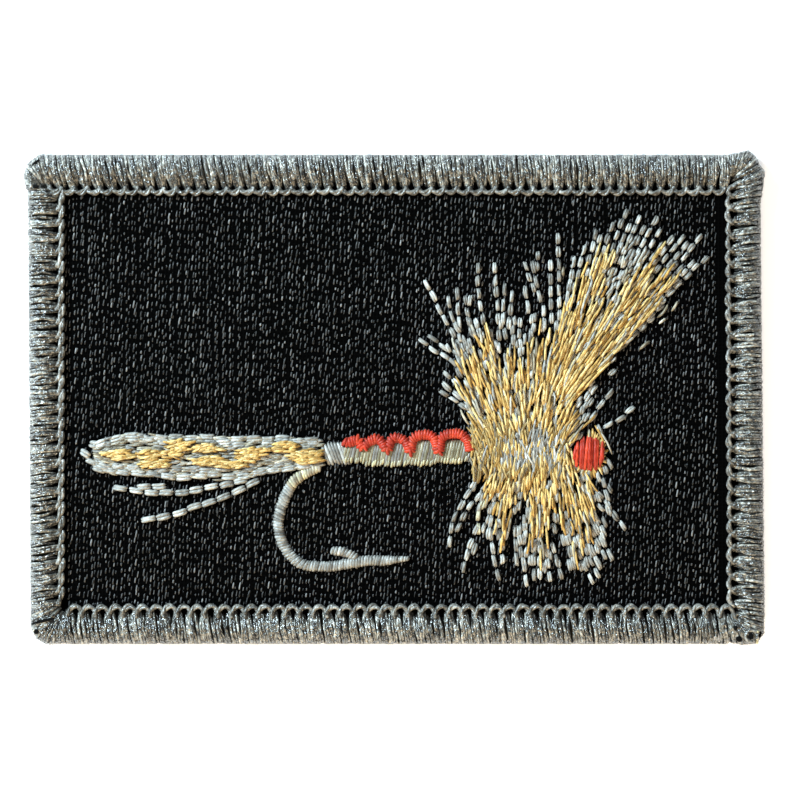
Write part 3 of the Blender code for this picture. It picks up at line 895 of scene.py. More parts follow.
@dataclass
class GroundCloth:
    """The black twill with its warp floats, and the cut-away backing and the film behind it."""

    warp_pitch: float = 0.77
    float_pitch: float = 0.79
    float_length: float = 0.72
    lean_share: float = 0.0089
    weave_depth: float = 0.05
    cells: tuple[int, int] = (180, 120)
    seed: int = 11
    twill: WovenFinish = WovenFinish(
        "black_twill_weave", Slot.TWILL, (0.0012, 0.0012, 0.0012), 0.385, 0.395, 0.05,
        roughness=0.9, sheen=0.0, specular=0.0
    )
    floats: ThreadFinish = ThreadFinish(
        "black_warp_thread", Slot.TWILL, roughness=0.36, specular=0.4, sheen=0.0, twist_mm=0.6,
        ply_depth_mm=0.02, painted_glint=0.5
    )
    backing: WovenFinish = WovenFinish(
        "matted_backing", Slot.BACKING, (0.62, 0.61, 0.58), 0.31, 0.27, 0.04, roughness=0.9
    )
    film: FilmFinish = FilmFinish()

    def slab(self, node: str, finish: WovenFinish | FilmFinish, relief: float) -> bpy.types.Object:
        """Make a cloth layer as a closed slab whose upper face follows the weave.

        The upper face is level plus a relief times the sine across the warp times the sine across the weft,
        and the slab leans sideways with the model's edges.

        Args:
            node: The CAD node whose box it fills.
            finish: Its finish.
            relief: Height of the weave in millimetres.

        Returns:
            The slab.
        """
        low, high = node_box(node)
        columns, rows = self.cells
        width = high[0] - low[0] - self.lean_share * (high[1] - low[1])
        x, y = np.meshgrid(
            np.linspace(-width / 2, width / 2, columns + 1) + (low[0] + high[0]) / 2,
            np.linspace(low[1], high[1], rows + 1),
            indexing="ij",
        )
        wave = np.sin(2 * math.pi * x / self.warp_pitch) * np.sin(2 * math.pi * y / self.float_pitch)
        x = x - self.lean_share * y
        faces = []
        for z in (high[2] - relief + relief * 0.5 * (1 + wave), np.full_like(x, low[2])):
            faces.append(np.stack([x, y, z], axis=-1).reshape(-1, 3))
        index = np.arange((columns + 1) * (rows + 1)).reshape(columns + 1, rows + 1)
        rim = np.concatenate([index[:-1, 0], index[-1, :-1], index[:0:-1, -1], index[0, :0:-1]])
        after = np.roll(rim, -1)
        wall = np.stack([rim, rim + index.size, after + index.size, after], axis=-1)
        quads = np.concatenate([grid_quads(index), grid_quads((index + index.size).T), wall[:, ::-1]])
        none = np.zeros((0, 3), int)
        return fill_mesh(node + "_layer", np.concatenate(faces), quads, none, None, None, finish)

    def warp_floats(
        self, rng: np.random.Generator, name: str, shift: float, crest: float, width: float
    ) -> Strands:
        """Lay the short warp floats that stand out of the twill, column by column.

        Args:
            rng: Seeded random numbers.
            name: Logged name of the set.
            shift: How far its columns lie beside the main ones.
            crest: Height of a float's top above the cloth.
            width: Width of a float.

        Returns:
            The floats.
        """
        low, high = window_box()
        columns = int((high[0] - low[0]) / self.warp_pitch)
        rows = int((high[1] - low[1]) / self.float_pitch)
        i, j = np.meshgrid(np.arange(columns), np.arange(rows), indexing="ij")
        phase = rng.random((columns, 1))
        x = low[0] + (i + 0.5) * self.warp_pitch + shift + 0.03 * rng.standard_normal((columns, 1))
        y = low[1] + (j + 0.15 + 0.7 * phase) * self.float_pitch
        x = x - self.lean_share * y + 0.06 * rng.standard_normal(x.shape)
        y = y + 0.11 * rng.standard_normal(x.shape)
        middle = np.stack([x, y], axis=-1).reshape(-1, 2)
        half = np.array((0.09, 0.5)) * self.float_length * rng.uniform(0.35, 1.35, (len(middle), 1))
        form = StitchForm(
            width, 0.16, HEIGHTS.cloth + crest, HEIGHTS.cloth - 0.12, points=4, squareness=2.0, sway=0.03
        )
        # Floats are painted darker the lower their crest: painted shade on those set between the main columns;         the wide lightness spread paints glints on the black thread
        tints = drawn_tints(rng, BLACK_AND_GLINT_TINTS, len(middle), 0.35) * (0.4 + crest / 0.25)
        LOG.info("%s: %d columns of %d floats", name, columns, rows)
        return form.lay(rng, middle - half, middle + half, tints)

    def build(self) -> None:
        rng = np.random.default_rng(self.seed)
        twill = settle(self.slab("twill_ground", self.twill, self.weave_depth), Slot.TWILL, "twill_ground")
        sets = (("ground_floats_main", 0.0, 0.15, 0.20), ("ground_floats_between", 0.31, 0.08, 0.16))
        for name, shift, crest, width in sets:
            strands = self.warp_floats(rng, name, shift, crest, width)
            settle(strands.build(name, self.floats, sides=5), Slot.TWILL)
        backing = settle(self.slab("cutaway_backing", self.backing, 0.02), Slot.BACKING, "cutaway_backing")
        film = settle(self.slab("heat_seal_film", self.film, 0.03), Slot.FILM, "heat_seal_film")


def window_box() -> tuple[Array, Array]:
    """The opening inside the border rolls.

    Returns:
        Its lowest and highest corners, without the lean of the sides.
    """
    chain_low, chain_high = node_box("border_chain_top")
    low = np.array((chain_low[0], node_box("border_roll_bottom")[1][1]))
    return low, np.array((chain_high[0], node_box("border_roll_top")[0][1]))


class ChainLook(Enum):
    """How the needle chain lies along a side."""

    SCALLOP = "arcs that hang from cusp to cusp"
    OVERLAP = "slanted links, each over the next"
    ARCH = "arches that stand on their cusps"
    ZIGZAG = "links that lean to and fro"


CHAIN_THREAD = ThreadFinish(
    "grey_chain_twist", Slot.BORDER, roughness=0.32, specular=0.7, sheen=0.05, anisotropy=0.3, coat=0.15,
    twist_mm=0.8, ply_depth_mm=0.05, fibre_depth_mm=0.03, facet_depth_mm=0.18, facets_per_mm=2.6, painted_glint=0.9
)
HOLLOW_SHADE = ThreadFinish(
    "hollow_shade", Slot.BORDER, roughness=0.95, specular=0.0, sheen=0.0, anisotropy=0.0, painted_glint=0.2
)


@dataclass
class BorderSide:
    """One overlocked side: thread wrapped round the cloth's edge, and the needle chain that holds it."""

    side: str
    chain: ChainLook
    outer: Line
    inner: Line
    chain_inward: Point
    slant: float
    seed: int
    bundle: float = 1.5
    strands_in_bundle: int = 7
    gather: float = 0.70
    gather_stray: float = 0.09
    half_strand: float = 0.142
    half_link: float = 0.19
    waviness: float = 0.08
    chain_start: float = -0.30
    thread: ThreadFinish = ThreadFinish(
        "grey_border_twist", Slot.BORDER, roughness=0.22, specular=1.0, sheen=0.05, anisotropy=0.3, coat=0.6,
        twist_mm=0.8, ply_depth_mm=0.05, fibre_depth_mm=0.03, facet_depth_mm=0.42, facets_per_mm=2.2,
        painted_glint=1.6
    )

    # Share of the way in from the outer edge, and height, from the inner bottom round to the inner top
    SECTION = (
        (0.94, 0.34), (0.86, 0.19), (0.66, 0.13), (0.42, 0.13), (0.22, 0.18), (0.09, 0.42), (0.035, 0.85),
        (0.035, 1.30), (0.07, 1.66), (0.14, 1.96), (0.24, 2.19), (0.36, 2.31), (0.48, 2.33), (0.61, 2.25),
        (0.74, 2.08), (0.87, 1.84), (0.98, 1.52)
    )
    # How many of them lie below the widest place, and how far the slant turns back there
    BELOW = 7
    SLANT_BELOW = -0.4
    # Share of the way in where the bundles start to close, and the length of the closing
    CLOSING_FROM = 0.52
    CLOSING_OVER = 0.38
    # The core: its points, its distance from both ends, its place across the roll and its height
    CORE_POINTS = 80
    CORE_TRIM = 1.6
    CORE_SHARE = 0.46
    CORE_LEVEL = 1.17
    # Near-black colour of the core: painted shade for the gaps and slits between the wraps
    CORE_SHADE_COLOUR = (0.022, 0.021, 0.018)

    @property
    def length(self) -> float:
        """Length of the outer line from corner to corner."""
        return float(np.linalg.norm(np.diff(np.array(self.outer), axis=0), axis=1).sum())

    def matched(self, t: Array, line: Line) -> Array:
        """Points of an edge line at shares of the side.

        Args:
            t: Distances along the outer line.
            line: The outer line or the inner one; their points match.

        Returns:
            X and Y of each.
        """
        outer = np.array(self.outer)
        reach = np.concatenate([[0.0], np.cumsum(np.linalg.norm(np.diff(outer, axis=0), axis=1))])
        knots = np.array(line)
        return np.stack([np.interp(t, reach, knots[:, axis]) for axis in (0, 1)], axis=-1)

    def cusps(self) -> Array:
        """Where the bundles meet the chain along the straight run of the inner line.

        Returns:
            X and Y of each cusp.
        """
        bundles = round(self.length / self.bundle)
        middle = (np.arange(bundles) + 0.5) * self.length / bundles
        met = self.matched(middle + self.slant / 2, self.inner)
        step = np.diff(met, axis=0)
        straight = np.linalg.norm(step, axis=1) > 0.6 * self.bundle
        first = met[:-1][straight][0] - step[straight][1] * (1.0 if straight[0] else 0.0)
        return np.concatenate([first[None], met[:-1][straight], met[1:][straight][-1:]])

    def wraps(self, rng: np.random.Generator) -> Strands:
        """Wrap strands round the edge, gathered in bundles that close up towards the chain.

        A strand runs straight across in plan, from the outer line to the inner one. Past its middle its
        distance from the middle of its bundle shrinks to the gathered share.

        Args:
            rng: Seeded random numbers.

        Returns:
            The strands.
        """
        length = self.length
        bundles = round(length / self.bundle)
        count = bundles * self.strands_in_bundle
        t = (np.arange(count) + 0.5) * length / count
        middle = (np.arange(count) // self.strands_in_bundle + 0.5) * length / bundles
        t = t + 0.05 * rng.standard_normal(count)
        share, height = np.array(self.SECTION).T
        closing = np.clip((share - self.CLOSING_FROM) / self.CLOSING_OVER, 0, 1)
        gathered = self.gather + self.gather_stray * rng.standard_normal(bundles).clip(-1.5, 1.5)
        gathered = gathered.repeat(self.strands_in_bundle)
        inner_t = middle[:, None] + (t - middle)[:, None] * (1 - (1 - gathered[:, None]) * closing)
        lean = np.where(np.arange(len(share)) < self.BELOW, self.SLANT_BELOW, 1)
        inner_t = inner_t + self.slant * (share - 0.5) * lean
        drift = self.waviness * rng.standard_normal((count, 1)) * np.sin(math.pi * share)
        drift = drift + 0.05 * rng.standard_normal((count, 1)) * np.sin(3 * math.pi * share)
        drift = drift * (1 - 0.6 * closing)
        at_outer = self.matched((inner_t + drift).ravel(), self.outer).reshape(count, -1, 2)
        at_inner = self.matched((inner_t + drift).ravel(), self.inner).reshape(count, -1, 2)
        across = at_inner - at_outer
        round_off = ((t - middle) / (self.bundle / 2))[:, None] ** 2
        reach = share * (1 - 0.05 * round_off) + 0.012 * rng.standard_normal((count, 1)).clip(0, 3)
        flat = at_outer + across * reach[..., None]
        sideways = np.stack([across[..., 1], -across[..., 0], np.zeros_like(across[..., 0])], axis=-1)
        sideways /= np.linalg.norm(sideways, axis=2, keepdims=True)
        sink = (0.04 * round_off + 0.50 * closing * round_off**2) * (height > 1.0)
        lift = height - sink + 0.08 * rng.standard_normal((count, 1)).clip(-1.5, 0.2) * (height > 1.0)
        centres = np.concatenate([flat, np.maximum(lift, 0.12)[:, :, None]], axis=-1)
        half = self.half_strand * (1 + 0.15 * rng.standard_normal((count, 1)).clip(-2, 2))
        half = half * np.where(share > 0.9, 0.85, 1.0)
        tints = drawn_tints(rng, BORDER_TINTS, count, 0.3)
        return Strands(centres, half, np.minimum(half * 0.75, 0.13), tints, sideways)

    def core(self) -> Strands:
        """Fill the roll under the wraps with one near-black matte bundle, painted shade that shows
        in the gaps between the wraps and in the slits at the chain.

        Returns:
            One fat strand along the side.
        """
        t = np.linspace(self.CORE_TRIM, self.length - self.CORE_TRIM, self.CORE_POINTS)
        across = self.matched(t, self.inner) - self.matched(t, self.outer)
        flat = self.matched(t, self.outer) + self.CORE_SHARE * across
        centres = np.concatenate([flat, np.full((self.CORE_POINTS, 1), self.CORE_LEVEL)], axis=-1)[None]
        wide = 0.33 * np.linalg.norm(across, axis=1)[None]
        tall = 0.82 * np.minimum(wide / 1.28, 1)
        return Strands(centres, wide, tall, np.array([self.CORE_SHADE_COLOUR]))

    def chain_strands(self, rng: np.random.Generator) -> Strands:
        """Loop the needle thread along the inner edge, two plies to each link.

        Args:
            rng: Seeded random numbers.

        Returns:
            The links.
        """
        cusps = self.cusps()
        inward = np.array(self.chain_inward)
        start, run = cusps[:-1], np.diff(cusps, axis=0)
        start, run = start[np.any(run != 0, axis=1)], run[np.any(run != 0, axis=1)]
        count = len(start)
        t = np.linspace(0, 1, 9)
        bow = np.sin(math.pi * t)
        shapes = {
            ChainLook.SCALLOP: (1.10 * t - 0.05, 0.54 * bow**0.8),
            ChainLook.OVERLAP: (1.35 * t - 0.15, 0.55 * t + 0.10 * bow),
            ChainLook.ARCH: (1.12 * t - 0.06, 0.98 * bow**0.6 - 0.38),
            ChainLook.ZIGZAG: (1.3 * t - 0.15, 0.62 * bow**0.7 - 0.05),
        }
        along, depth = shapes[self.chain]
        batches = []
        for ply in (-1, 1):
            offset = ply * 0.12 * np.cos(1.5 * math.pi * t)
            s = along + 0.02 * rng.standard_normal((count, 1))
            u = self.chain_start + depth + offset + 0.03 * rng.standard_normal((count, 1))
            flat = start[:, None] + run[:, None] * s[..., None] + inward * u[..., None]
            z = HEIGHTS.cloth + 0.34 + 0.06 * bow + ply * 0.06 * np.sin(1.5 * math.pi * t)
            z = z + 0.9 * np.maximum(-0.35 - u, 0)
            centres = np.concatenate([flat, z[..., None]], axis=-1)
            half = np.full(s.shape, self.half_link)
            batches.append(Strands(centres, half, half, drawn_tints(rng, CHAIN_TINTS, count, 0.15)))
        return Strands.joined(batches)

    def build(self) -> None:
        """Make the wraps with their core, and the chain."""
        rng = np.random.default_rng(self.seed)
        wraps = self.wraps(rng).build(f"border_wraps_{self.side}", self.thread, sides=5)
        settle(wraps, Slot.BORDER, f"border_roll_{self.side}")
        settle(self.core().build(f"border_shade_core_{self.side}", HOLLOW_SHADE, sides=16), Slot.BORDER)
        chain = self.chain_strands(rng).build(f"border_links_{self.side}", CHAIN_THREAD)
        settle(chain, Slot.BORDER, f"border_chain_{self.side}")


def border_sides() -> list[BorderSide]:
    """Lay out the four sides from the model's rolls.

    Returns:
        The sides; each outer line turns its corners as its roll does.
    """
    low, high = window_box()
    left, right = -34.25, 34.25
    top, bottom = high[1], low[1]
    edge_x = 38.1
    roll = 3.9
    edge_top, edge_bottom = top + roll, bottom - roll
    roll_low, roll_high = node_box("border_roll_right")
    lean = 0.2
    return [
        BorderSide(
            "top", ChainLook.SCALLOP,
            ((-38.3, top + 0.2), (-38.6, top + 1.7), (-38.15, top + 3.0), (-37.0, edge_top),
             (-35.9, edge_top), (-34.8, edge_top), (right + 0.8, edge_top)),
            ((-36.4, top), (-36.4, top + 0.1), (-36.3, top + 0.2), (-36.1, top + 0.2), (-35.5, top + 0.1),
             (left, top), (right + 0.3, top)),
            (0.0, -1.0), 0.5, 21, bundle=1.34,
        ),
        BorderSide(
            "right", ChainLook.ZIGZAG,
            ((34.9, edge_top + 0.05), (35.8, edge_top + 0.2), (36.7, roll_high[1]), (37.4, edge_top - 0.1),
             (38.45, 23.5), (38.3, 21.8), (38.0, 20.2), (38.45, bottom - 1.3), (38.4, roll_low[1] + 1.2),
             (37.6, roll_low[1] + 0.15), (36.2, roll_low[1]), (34.8, edge_bottom)),
            ((34.4, 22.4), (34.7, 22.8), (34.9, 23.0), (34.9, 22.9), (34.8, 22.2), (34.7, 21.2), (34.7, 20.0),
             (right + 0.6, bottom - 0.6), (right + 0.6, bottom - 0.8), (right + 0.5, bottom - 0.9),
             (right + 0.3, bottom - 0.9), (right + 0.1, bottom - 0.8)),
            (-1.0, 0.0), 0.3, 22, waviness=0.10,
        ),
        BorderSide(
            "bottom", ChainLook.ARCH,
            ((right + 0.3, edge_bottom - 0.15), (left, edge_bottom - 0.15)),
            ((right + 0.3, bottom - 0.3), (left, bottom - 0.3)),
            (0.0, 1.0), 0.5, 23, bundle=1.39,
        ),
        BorderSide(
            "left", ChainLook.OVERLAP,
            ((-34.2, edge_bottom - 0.1), (-36.2, roll_low[1]), (-37.3, edge_bottom + 0.3),
             (-edge_x + lean, bottom - 2.2), (-edge_x + lean, bottom), (-edge_x - lean + 0.1, top + 0.5)),
            ((left + 0.1, bottom - 0.6), (left - 0.1, bottom - 0.6), (left - 0.4, bottom - 0.3),
             (left - 0.4, bottom), (left - 0.4, bottom + 0.3), (left - 0.4, top + 0.2)),
            (1.0, 0.0), 0.3, 24, waviness=0.11,
        ),
    ]


@dataclass
class CornerEnds:
    """Where the overlock stops and starts: painted shade in the hollows between wraps, as flat near-black
    lenses, and the cut end of its thread.
    """

    # Start, end, half width and height of each lens of painted shade
    hollow_shades: tuple[tuple[Point, Point, float, float], ...] = (
        ((36.6, -24.72), (37.0, -24.58), 0.34, 2.42), ((35.3, -24.75), (35.8, -25.15), 0.30, 2.34),
        ((37.8, -24.15), (37.72, -24.85), 0.15, 2.05), ((35.0, -23.9), (35.3, -23.6), 0.26, 2.46),
        ((-37.5, 23.9), (-36.8, 24.55), 0.20, 2.24), ((-37.4, 21.75), (-36.8, 21.8), 0.20, 2.40),
        ((-37.15, -23.95), (-36.95, -24.4), 0.27, 2.38), ((-37.5, -23.35), (-35.1, -22.75), 0.15, 2.47),
    )
    ring: Point = (36.8, -24.62)
    ring_radius: float = 0.58
    cut_end: tuple[Point, Point] = ((37.42, -24.15), (37.5, -25.45))
    points: int = 21
    half_width: float = 0.15
    seed: int = 25

    def build(self) -> None:
        """Make the painted shade of the hollows as flat near-black lenses, and the thread end as a curl
        beside a straight stub.
        """
        rng = np.random.default_rng(self.seed)
        starts, ends, half, level = (np.array(column) for column in zip(*self.hollow_shades))
        half, level = half[:, None], level[:, None]
        t = np.linspace(0, 1, 7)
        flat = starts[:, None] + (ends - starts)[:, None] * t[None, :, None]
        centres = np.concatenate([flat, np.broadcast_to(level, flat.shape[:2])[..., None]], axis=-1)
        girth = half * (0.35 + 0.65 * np.sin(math.pi * t) ** 0.5)
        # Near-black tint 0.006: the lenses are painted shade in the hollows
        shade_lenses = Strands(centres, girth, np.full_like(girth, 0.06), np.full((len(half), 3), 0.006))
        settle(shade_lenses.build("border_hollow_shades", HOLLOW_SHADE, sides=12), Slot.BORDER)
        t = np.linspace(0, 1, self.points)[:, None]
        curl = np.array(self.ring) + self.ring_radius * rays(np.radians(-30 + 315 * t[:, 0]))
        start, end = np.array(self.cut_end)
        stub = start + (end - start) * t
        curl = np.concatenate([curl, 2.46 - 0.08 * t], axis=1)
        stub = np.concatenate([stub, 2.4 - 0.65 * t], axis=1)
        girth = self.half_width * (1 + 0.05 * rng.standard_normal((2, self.points)))
        tints = np.array(CHAIN_TINTS[2:] + PALE_KHAKI_TINTS[:1])
        thread = Strands(np.stack([curl, stub]), girth, girth, tints)
        settle(thread.build("border_cut_end", BorderSide.thread, sides=8), Slot.BORDER)


DUN_THREAD = ThreadFinish(
    "dun_twist", Slot.DUN, roughness=0.38, specular=0.45, sheen=0.1, painted_glint=0.45, facet_depth_mm=0.07
)
GINGER_THREAD = ThreadFinish(
    "ginger_twist", Slot.GINGER, roughness=0.42, specular=0.28, painted_glint=0.45, facet_depth_mm=0.07
)
KHAKI_THREAD = ThreadFinish("khaki_twist", Slot.KHAKI, roughness=0.36, specular=0.45, painted_glint=0.25)
RED_THREAD = ThreadFinish("red_twist", Slot.RED, roughness=0.45, specular=0.3, sheen=0.1, painted_glint=0.18)
BOBBIN_THREAD = ThreadFinish("white_bobbin_twist", Slot.BOBBIN, roughness=0.6, specular=0.3, painted_glint=0.15)


@dataclass
class Hook:
    """The satin-stitched bend, shank and barb of the hook."""

    bend: Line = (
        (-7.9, -7.25), (-9.2, -7.8), (-10.4, -8.6), (-11.2, -9.9), (-11.8, -11.35), (-12.1, -12.95),
        (-11.8, -14.7), (-10.9, -16.3), (-9.6, -17.3), (-8.2, -17.5), (-6.4, -17.5), (-4.7, -17.2),
        (-2.65, -16.9), (-0.9, -16.9), (1.3, -16.7),
    )
    widths: tuple[float, ...] = (0.9, 1.1, 1.1, 1.05, 1.05, 1.05, 1.0, 1.0, 1.05, 0.95, 0.35)
    barb: Line = ((-6.45, -15.85), (-5.2, -16.05), (-4.2, -16.55))
    seed: int = 31

    def build(self) -> None:
        """Make the bend and the barb."""
        rng = np.random.default_rng(self.seed)
        starts, ends = satin_stitches(rng, self.bend, self.widths, pitch=0.29, lean=0.16)
        tints = 0.72 * drawn_tints(rng, DUN_TINTS, len(starts))
        stained = len(starts) // 6
        tints[:stained] = drawn_tints(rng, SHADED_DUN_TINTS + PALE_KHAKI_TINTS, stained)
        strands = SATIN.lay(rng, starts, ends, tints)
        settle(strands.build("hook_bend_satin", DUN_THREAD), Slot.DUN, "hook_bend")
        starts, ends = satin_stitches(rng, self.barb, (0.75, 0.95, 0.85), pitch=0.29, lean=0.1)
        strands = SATIN.lay(rng, starts, ends, drawn_tints(rng, DUN_TINTS, len(starts)))
        settle(strands.build("hook_barb_satin", DUN_THREAD), Slot.DUN, "hook_barb")


@dataclass
class Tail:
    """The dun tail with its ginger streak, loose strands and tie-in collar."""

    upper_edge: Line = (
        (-31.4, -5.0), (-30.6, -4.6), (-29.2, -4.2), (-27.2, -3.6), (-24.4, -4.1), (-13.0, -4.3),
        (-7.2, -4.4),
    )
    lower_edge: Line = (
        (-31.4, -6.6), (-30.9, -7.1), (-29.9, -7.8), (-22.0, -8.3), (-15.0, -8.1), (-10.3, -7.3),
        (-7.2, -6.8),
    )
    upper_strand: Line = ((-29.2, -9.25), (-26.2, -9.7), (-22.9, -9.85), (-19.4, -9.4), (-15.2, -8.5))
    middle_strand: Line = ((-26.8, -9.3), (-25.4, -9.2), (-23.6, -9.1))
    lower_strand: Line = ((-26.4, -12.8), (-23.9, -12.3), (-21.2, -11.5), (-18.0, -10.4), (-14.0, -8.6))
    tips: tuple[tuple[Point, Point], ...] = (
        ((-32.6, -5.5), (-31.7, -6.1)), ((-31.6, -4.8), (-30.8, -4.9)), ((-30.4, -4.85), (-29.2, -4.9)),
        ((-32.0, -6.4), (-30.9, -6.9)), ((-31.3, -7.2), (-30.1, -7.6)),
    )
    collar: Line = ((-7.2, -5.9), (-5.2, -5.75))
    # Middle, half length and half height of each ginger patch
    patches: tuple[tuple[float, float, float, float], ...] = (
        (-28.6, -5.9, 2.0, 0.45), (-22.4, -5.0, 1.9, 0.6), (-24.8, -6.8, 2.1, 0.5), (-19.2, -5.2, 2.1, 0.4),
        (-19.5, -6.5, 2.0, 0.5), (-15.0, -5.9, 2.0, 0.65), (-11.4, -5.1, 1.5, 0.5), (-8.9, -6.1, 1.8, 0.75),
        (-25.2, -5.9, 1.6, 0.5), (-23.4, -5.9, 1.4, 0.3), (-16.8, -6.8, 1.8, 0.45), (-12.9, -5.5, 1.3, 0.3),
        (-10.2, -5.9, 1.2, 0.5),
    )
    # Ginger threads for each square millimetre of half length times half height
    density: float = 34.0
    seed: int = 32

    def bundle(self, rng: np.random.Generator) -> Strands:
        """Fill the bundle with fine wavering threads, edged above and below by blocks of two plies.

        Args:
            rng: Seeded random numbers.

        Returns:
            Its threads.
        """
        batches = []
        for _ in range(2):
            wisps = RowBed(self.upper_edge, self.lower_edge, rows=19, stitch=(0.9, 1.9), stray=0.07)
            starts, ends = wisps.stitches(rng)
            tints = 0.80 * drawn_tints(rng, SHADED_DUN_TINTS + DUN_TINTS[:1], len(starts), 0.25)
            batches.append(FINE_GRAIN.lay(rng, starts, ends, tints))
        tips = np.array(self.tips)
        batches.append(BROAD_GRAIN.lay(rng, tips[:, 0], tips[:, 1], drawn_tints(rng, DUN_TINTS, len(tips))))
        blocks = (((0.03, 0.06), 1.0), ((0.19, 0.22), 0.75), ((0.88, 0.93), 0.7), ((0.98, 1.0), 0.9))
        for band, cover in blocks:
            edge = RowBed(
                self.upper_edge, self.lower_edge, rows=1, stitch=(1.45, 1.65), stray=0.04,
                cover=cover, band=band
            )
            starts, ends = edge.stitches(rng)
            batches.append(BROAD_GRAIN.lay(rng, starts, ends, drawn_tints(rng, DUN_TINTS, len(starts))))
        return Strands.joined(batches)

    def streak(self, rng: np.random.Generator) -> Strands:
        """Crowd fine ginger threads into the patches.

        Args:
            rng: Seeded random numbers.

        Returns:
            Their threads.
        """
        batches = []
        for x, y, half_length, half_height in self.patches:
            count = round(self.density * half_length * half_height)
            turn = 2 * math.pi * rng.random(count)
            reach = np.sqrt(rng.random(count))
            middle = (x, y) + np.array((0.75 * half_length, half_height)) * reach[:, None] * rays(turn)
            lie = np.radians(5 + 9 * rng.standard_normal(count))
            half = rays(lie) * rng.uniform(0.4, 0.9, (count, 1))
            tints = drawn_tints(rng, GINGER_TINTS, count)
            batches.append(LONG_OVER.lay(rng, middle - half, middle + half, tints))
        return Strands.joined(batches)

    def build(self) -> None:
        """Make the bundle, the streak, the strands and the collar."""
        rng = np.random.default_rng(self.seed)
        settle(self.bundle(rng).build("tail_bundle_stitches", DUN_THREAD), Slot.DUN, "tail_bundle_dun")
        streak = self.streak(rng).build("tail_streak_stitches", GINGER_THREAD)
        settle(streak, Slot.GINGER, "tail_streak_ginger")
        for name, node, paths in (
            ("tail_upper_strand_stitches", "tail_strand_upper", (self.upper_strand, self.middle_strand)),
            ("tail_lower_strand_stitches", "tail_strand_lower", (self.lower_strand,)),
        ):
            starts, ends = running_stitches(rng, paths, stitch=1.62, gap=0.22)
            strands = BROAD_GRAIN.lay(rng, starts, ends, drawn_tints(rng, DUN_TINTS, len(starts)))
            settle(strands.build(name, DUN_THREAD), Slot.DUN, node)
        starts, ends = satin_stitches(rng, self.collar, (2.3, 2.3), pitch=0.30, lean=-0.35)
        strands = SATIN.lay(rng, starts, ends, drawn_tints(rng, DUN_TINTS, len(starts)))
        settle(strands.build("tail_collar_satin", DUN_THREAD), Slot.DUN, "tail_tie_in_collar")


@dataclass
class Abdomen:
    """Five khaki segments in satin stitch, and the red rib that arches over them."""

    joints: tuple[float, ...] = (-5.3, -3.15, -0.9, 1.6, 4.6, 7.6)
    feet: tuple[float, ...] = (-6.8, -7.1, -7.2, -7.1, -6.9)
    crest: float = -4.3
    apexes: Line = ((-3.8, -4.35), (-1.9, -4.3), (0.1, -4.15), (3.2, -3.85), (6.4, -3.75))
    dips: Line = ((-3.2, -5.2), (-0.8, -5.5), (1.6, -5.7), (4.55, -5.7), (7.8, -5.4))
    band: float = 1.0
    pitch: float = 0.30
    seed: int = 33

    def build(self) -> None:
        """Make the segments and the rib."""
        rng = np.random.default_rng(self.seed)
        for i, foot in enumerate(self.feet):
            left, right = self.joints[i], self.joints[i + 1]
            count = round((right - left) / self.pitch)
            x = left + (np.arange(count) + 0.5) * (right - left) / count
            bulge = 0.35 * (2 * (x - left) / (right - left) - 1) ** 4
            starts = np.stack([x - 0.3, foot + bulge], axis=-1)
            ends = np.stack([x + 0.35, np.full(count, self.crest)], axis=-1)
            starts = starts + 0.05 * rng.standard_normal(starts.shape)
            strands = SATIN.lay(rng, starts, ends, drawn_tints(rng, KHAKI_TINTS + DUN_TINTS[1:2], count))
            foot_starts = starts + np.array((0.0, -0.02))
            foot_ends = starts + np.array((0.22, 0.75))
            tints = 0.72 * drawn_tints(rng, PALE_KHAKI_TINTS, count)
            batch = Strands.joined([strands, FINE_GRAIN.lay(rng, foot_starts, foot_ends, tints)])
            satin = batch.build(f"abdomen_satin_{i + 1}", KHAKI_THREAD)
            settle(satin, Slot.KHAKI, f"abdomen_segment_{i + 1}")
        rib = [(-5.2, -4.6)]
        for apex, dip in zip(self.apexes, self.dips):
            rib += [(rib[-1][0] + 0.35, apex[1] - 0.35), apex, (dip[0] - 0.5, apex[1] - 0.4), dip]
        starts, ends = satin_stitches(rng, tuple(rib), (self.band,) * 3, pitch=0.27, lean=0.1)
        strands = OVER_SATIN.lay(rng, starts, ends, drawn_tints(rng, RED_TINTS, len(starts)))
        settle(strands.build("rib_satin", RED_THREAD), Slot.RED, "rib_red")


HUB: Point = (14.4, -4.5)
UPPER_HUB: Point = (13.5, -12.0)
LOWER_HUB: Point = (14.6, 8.5)


def barbs(
    rng: np.random.Generator, paths: tuple[Line, ...], palette: tuple[Colour, ...] = DUN_TINTS,
    stitch: float = 1.34
) -> Strands:
    """Stitch single barbs, each a line of running stitches.

    Args:
        rng: Seeded random numbers.
        paths: Points of each barb, from its tip to its root.
        palette: Colours to draw from.
        stitch: Length of a stitch with its gap.

    Returns:
        The stitches.
    """
    starts, ends = running_stitches(rng, paths, stitch)
    return GRAIN.lay(rng, starts, ends, drawn_tints(rng, palette, len(starts)))


def ginger_fan(
    rng: np.random.Generator, fan: FanBed, palette: tuple[Colour, ...], name: str, node: str
) -> None:
    """Stitch a fan twice, once under and once over, and settle it on its area.

    Args:
        rng: Seeded random numbers.
        fan: The bed to fill.
        palette: Colours to draw from.
        name: Name of the stitching.
        node: The CAD node it covers.
    """
    batches = []
    for form in (LONG_UNDER, LONG_OVER):
        starts, ends = fan.stitches(rng)
        batches.append(form.lay(rng, starts, ends, drawn_tints(rng, palette, len(starts))))
    settle(Strands.joined(batches).build(name, GINGER_THREAD), Slot.GINGER, node)


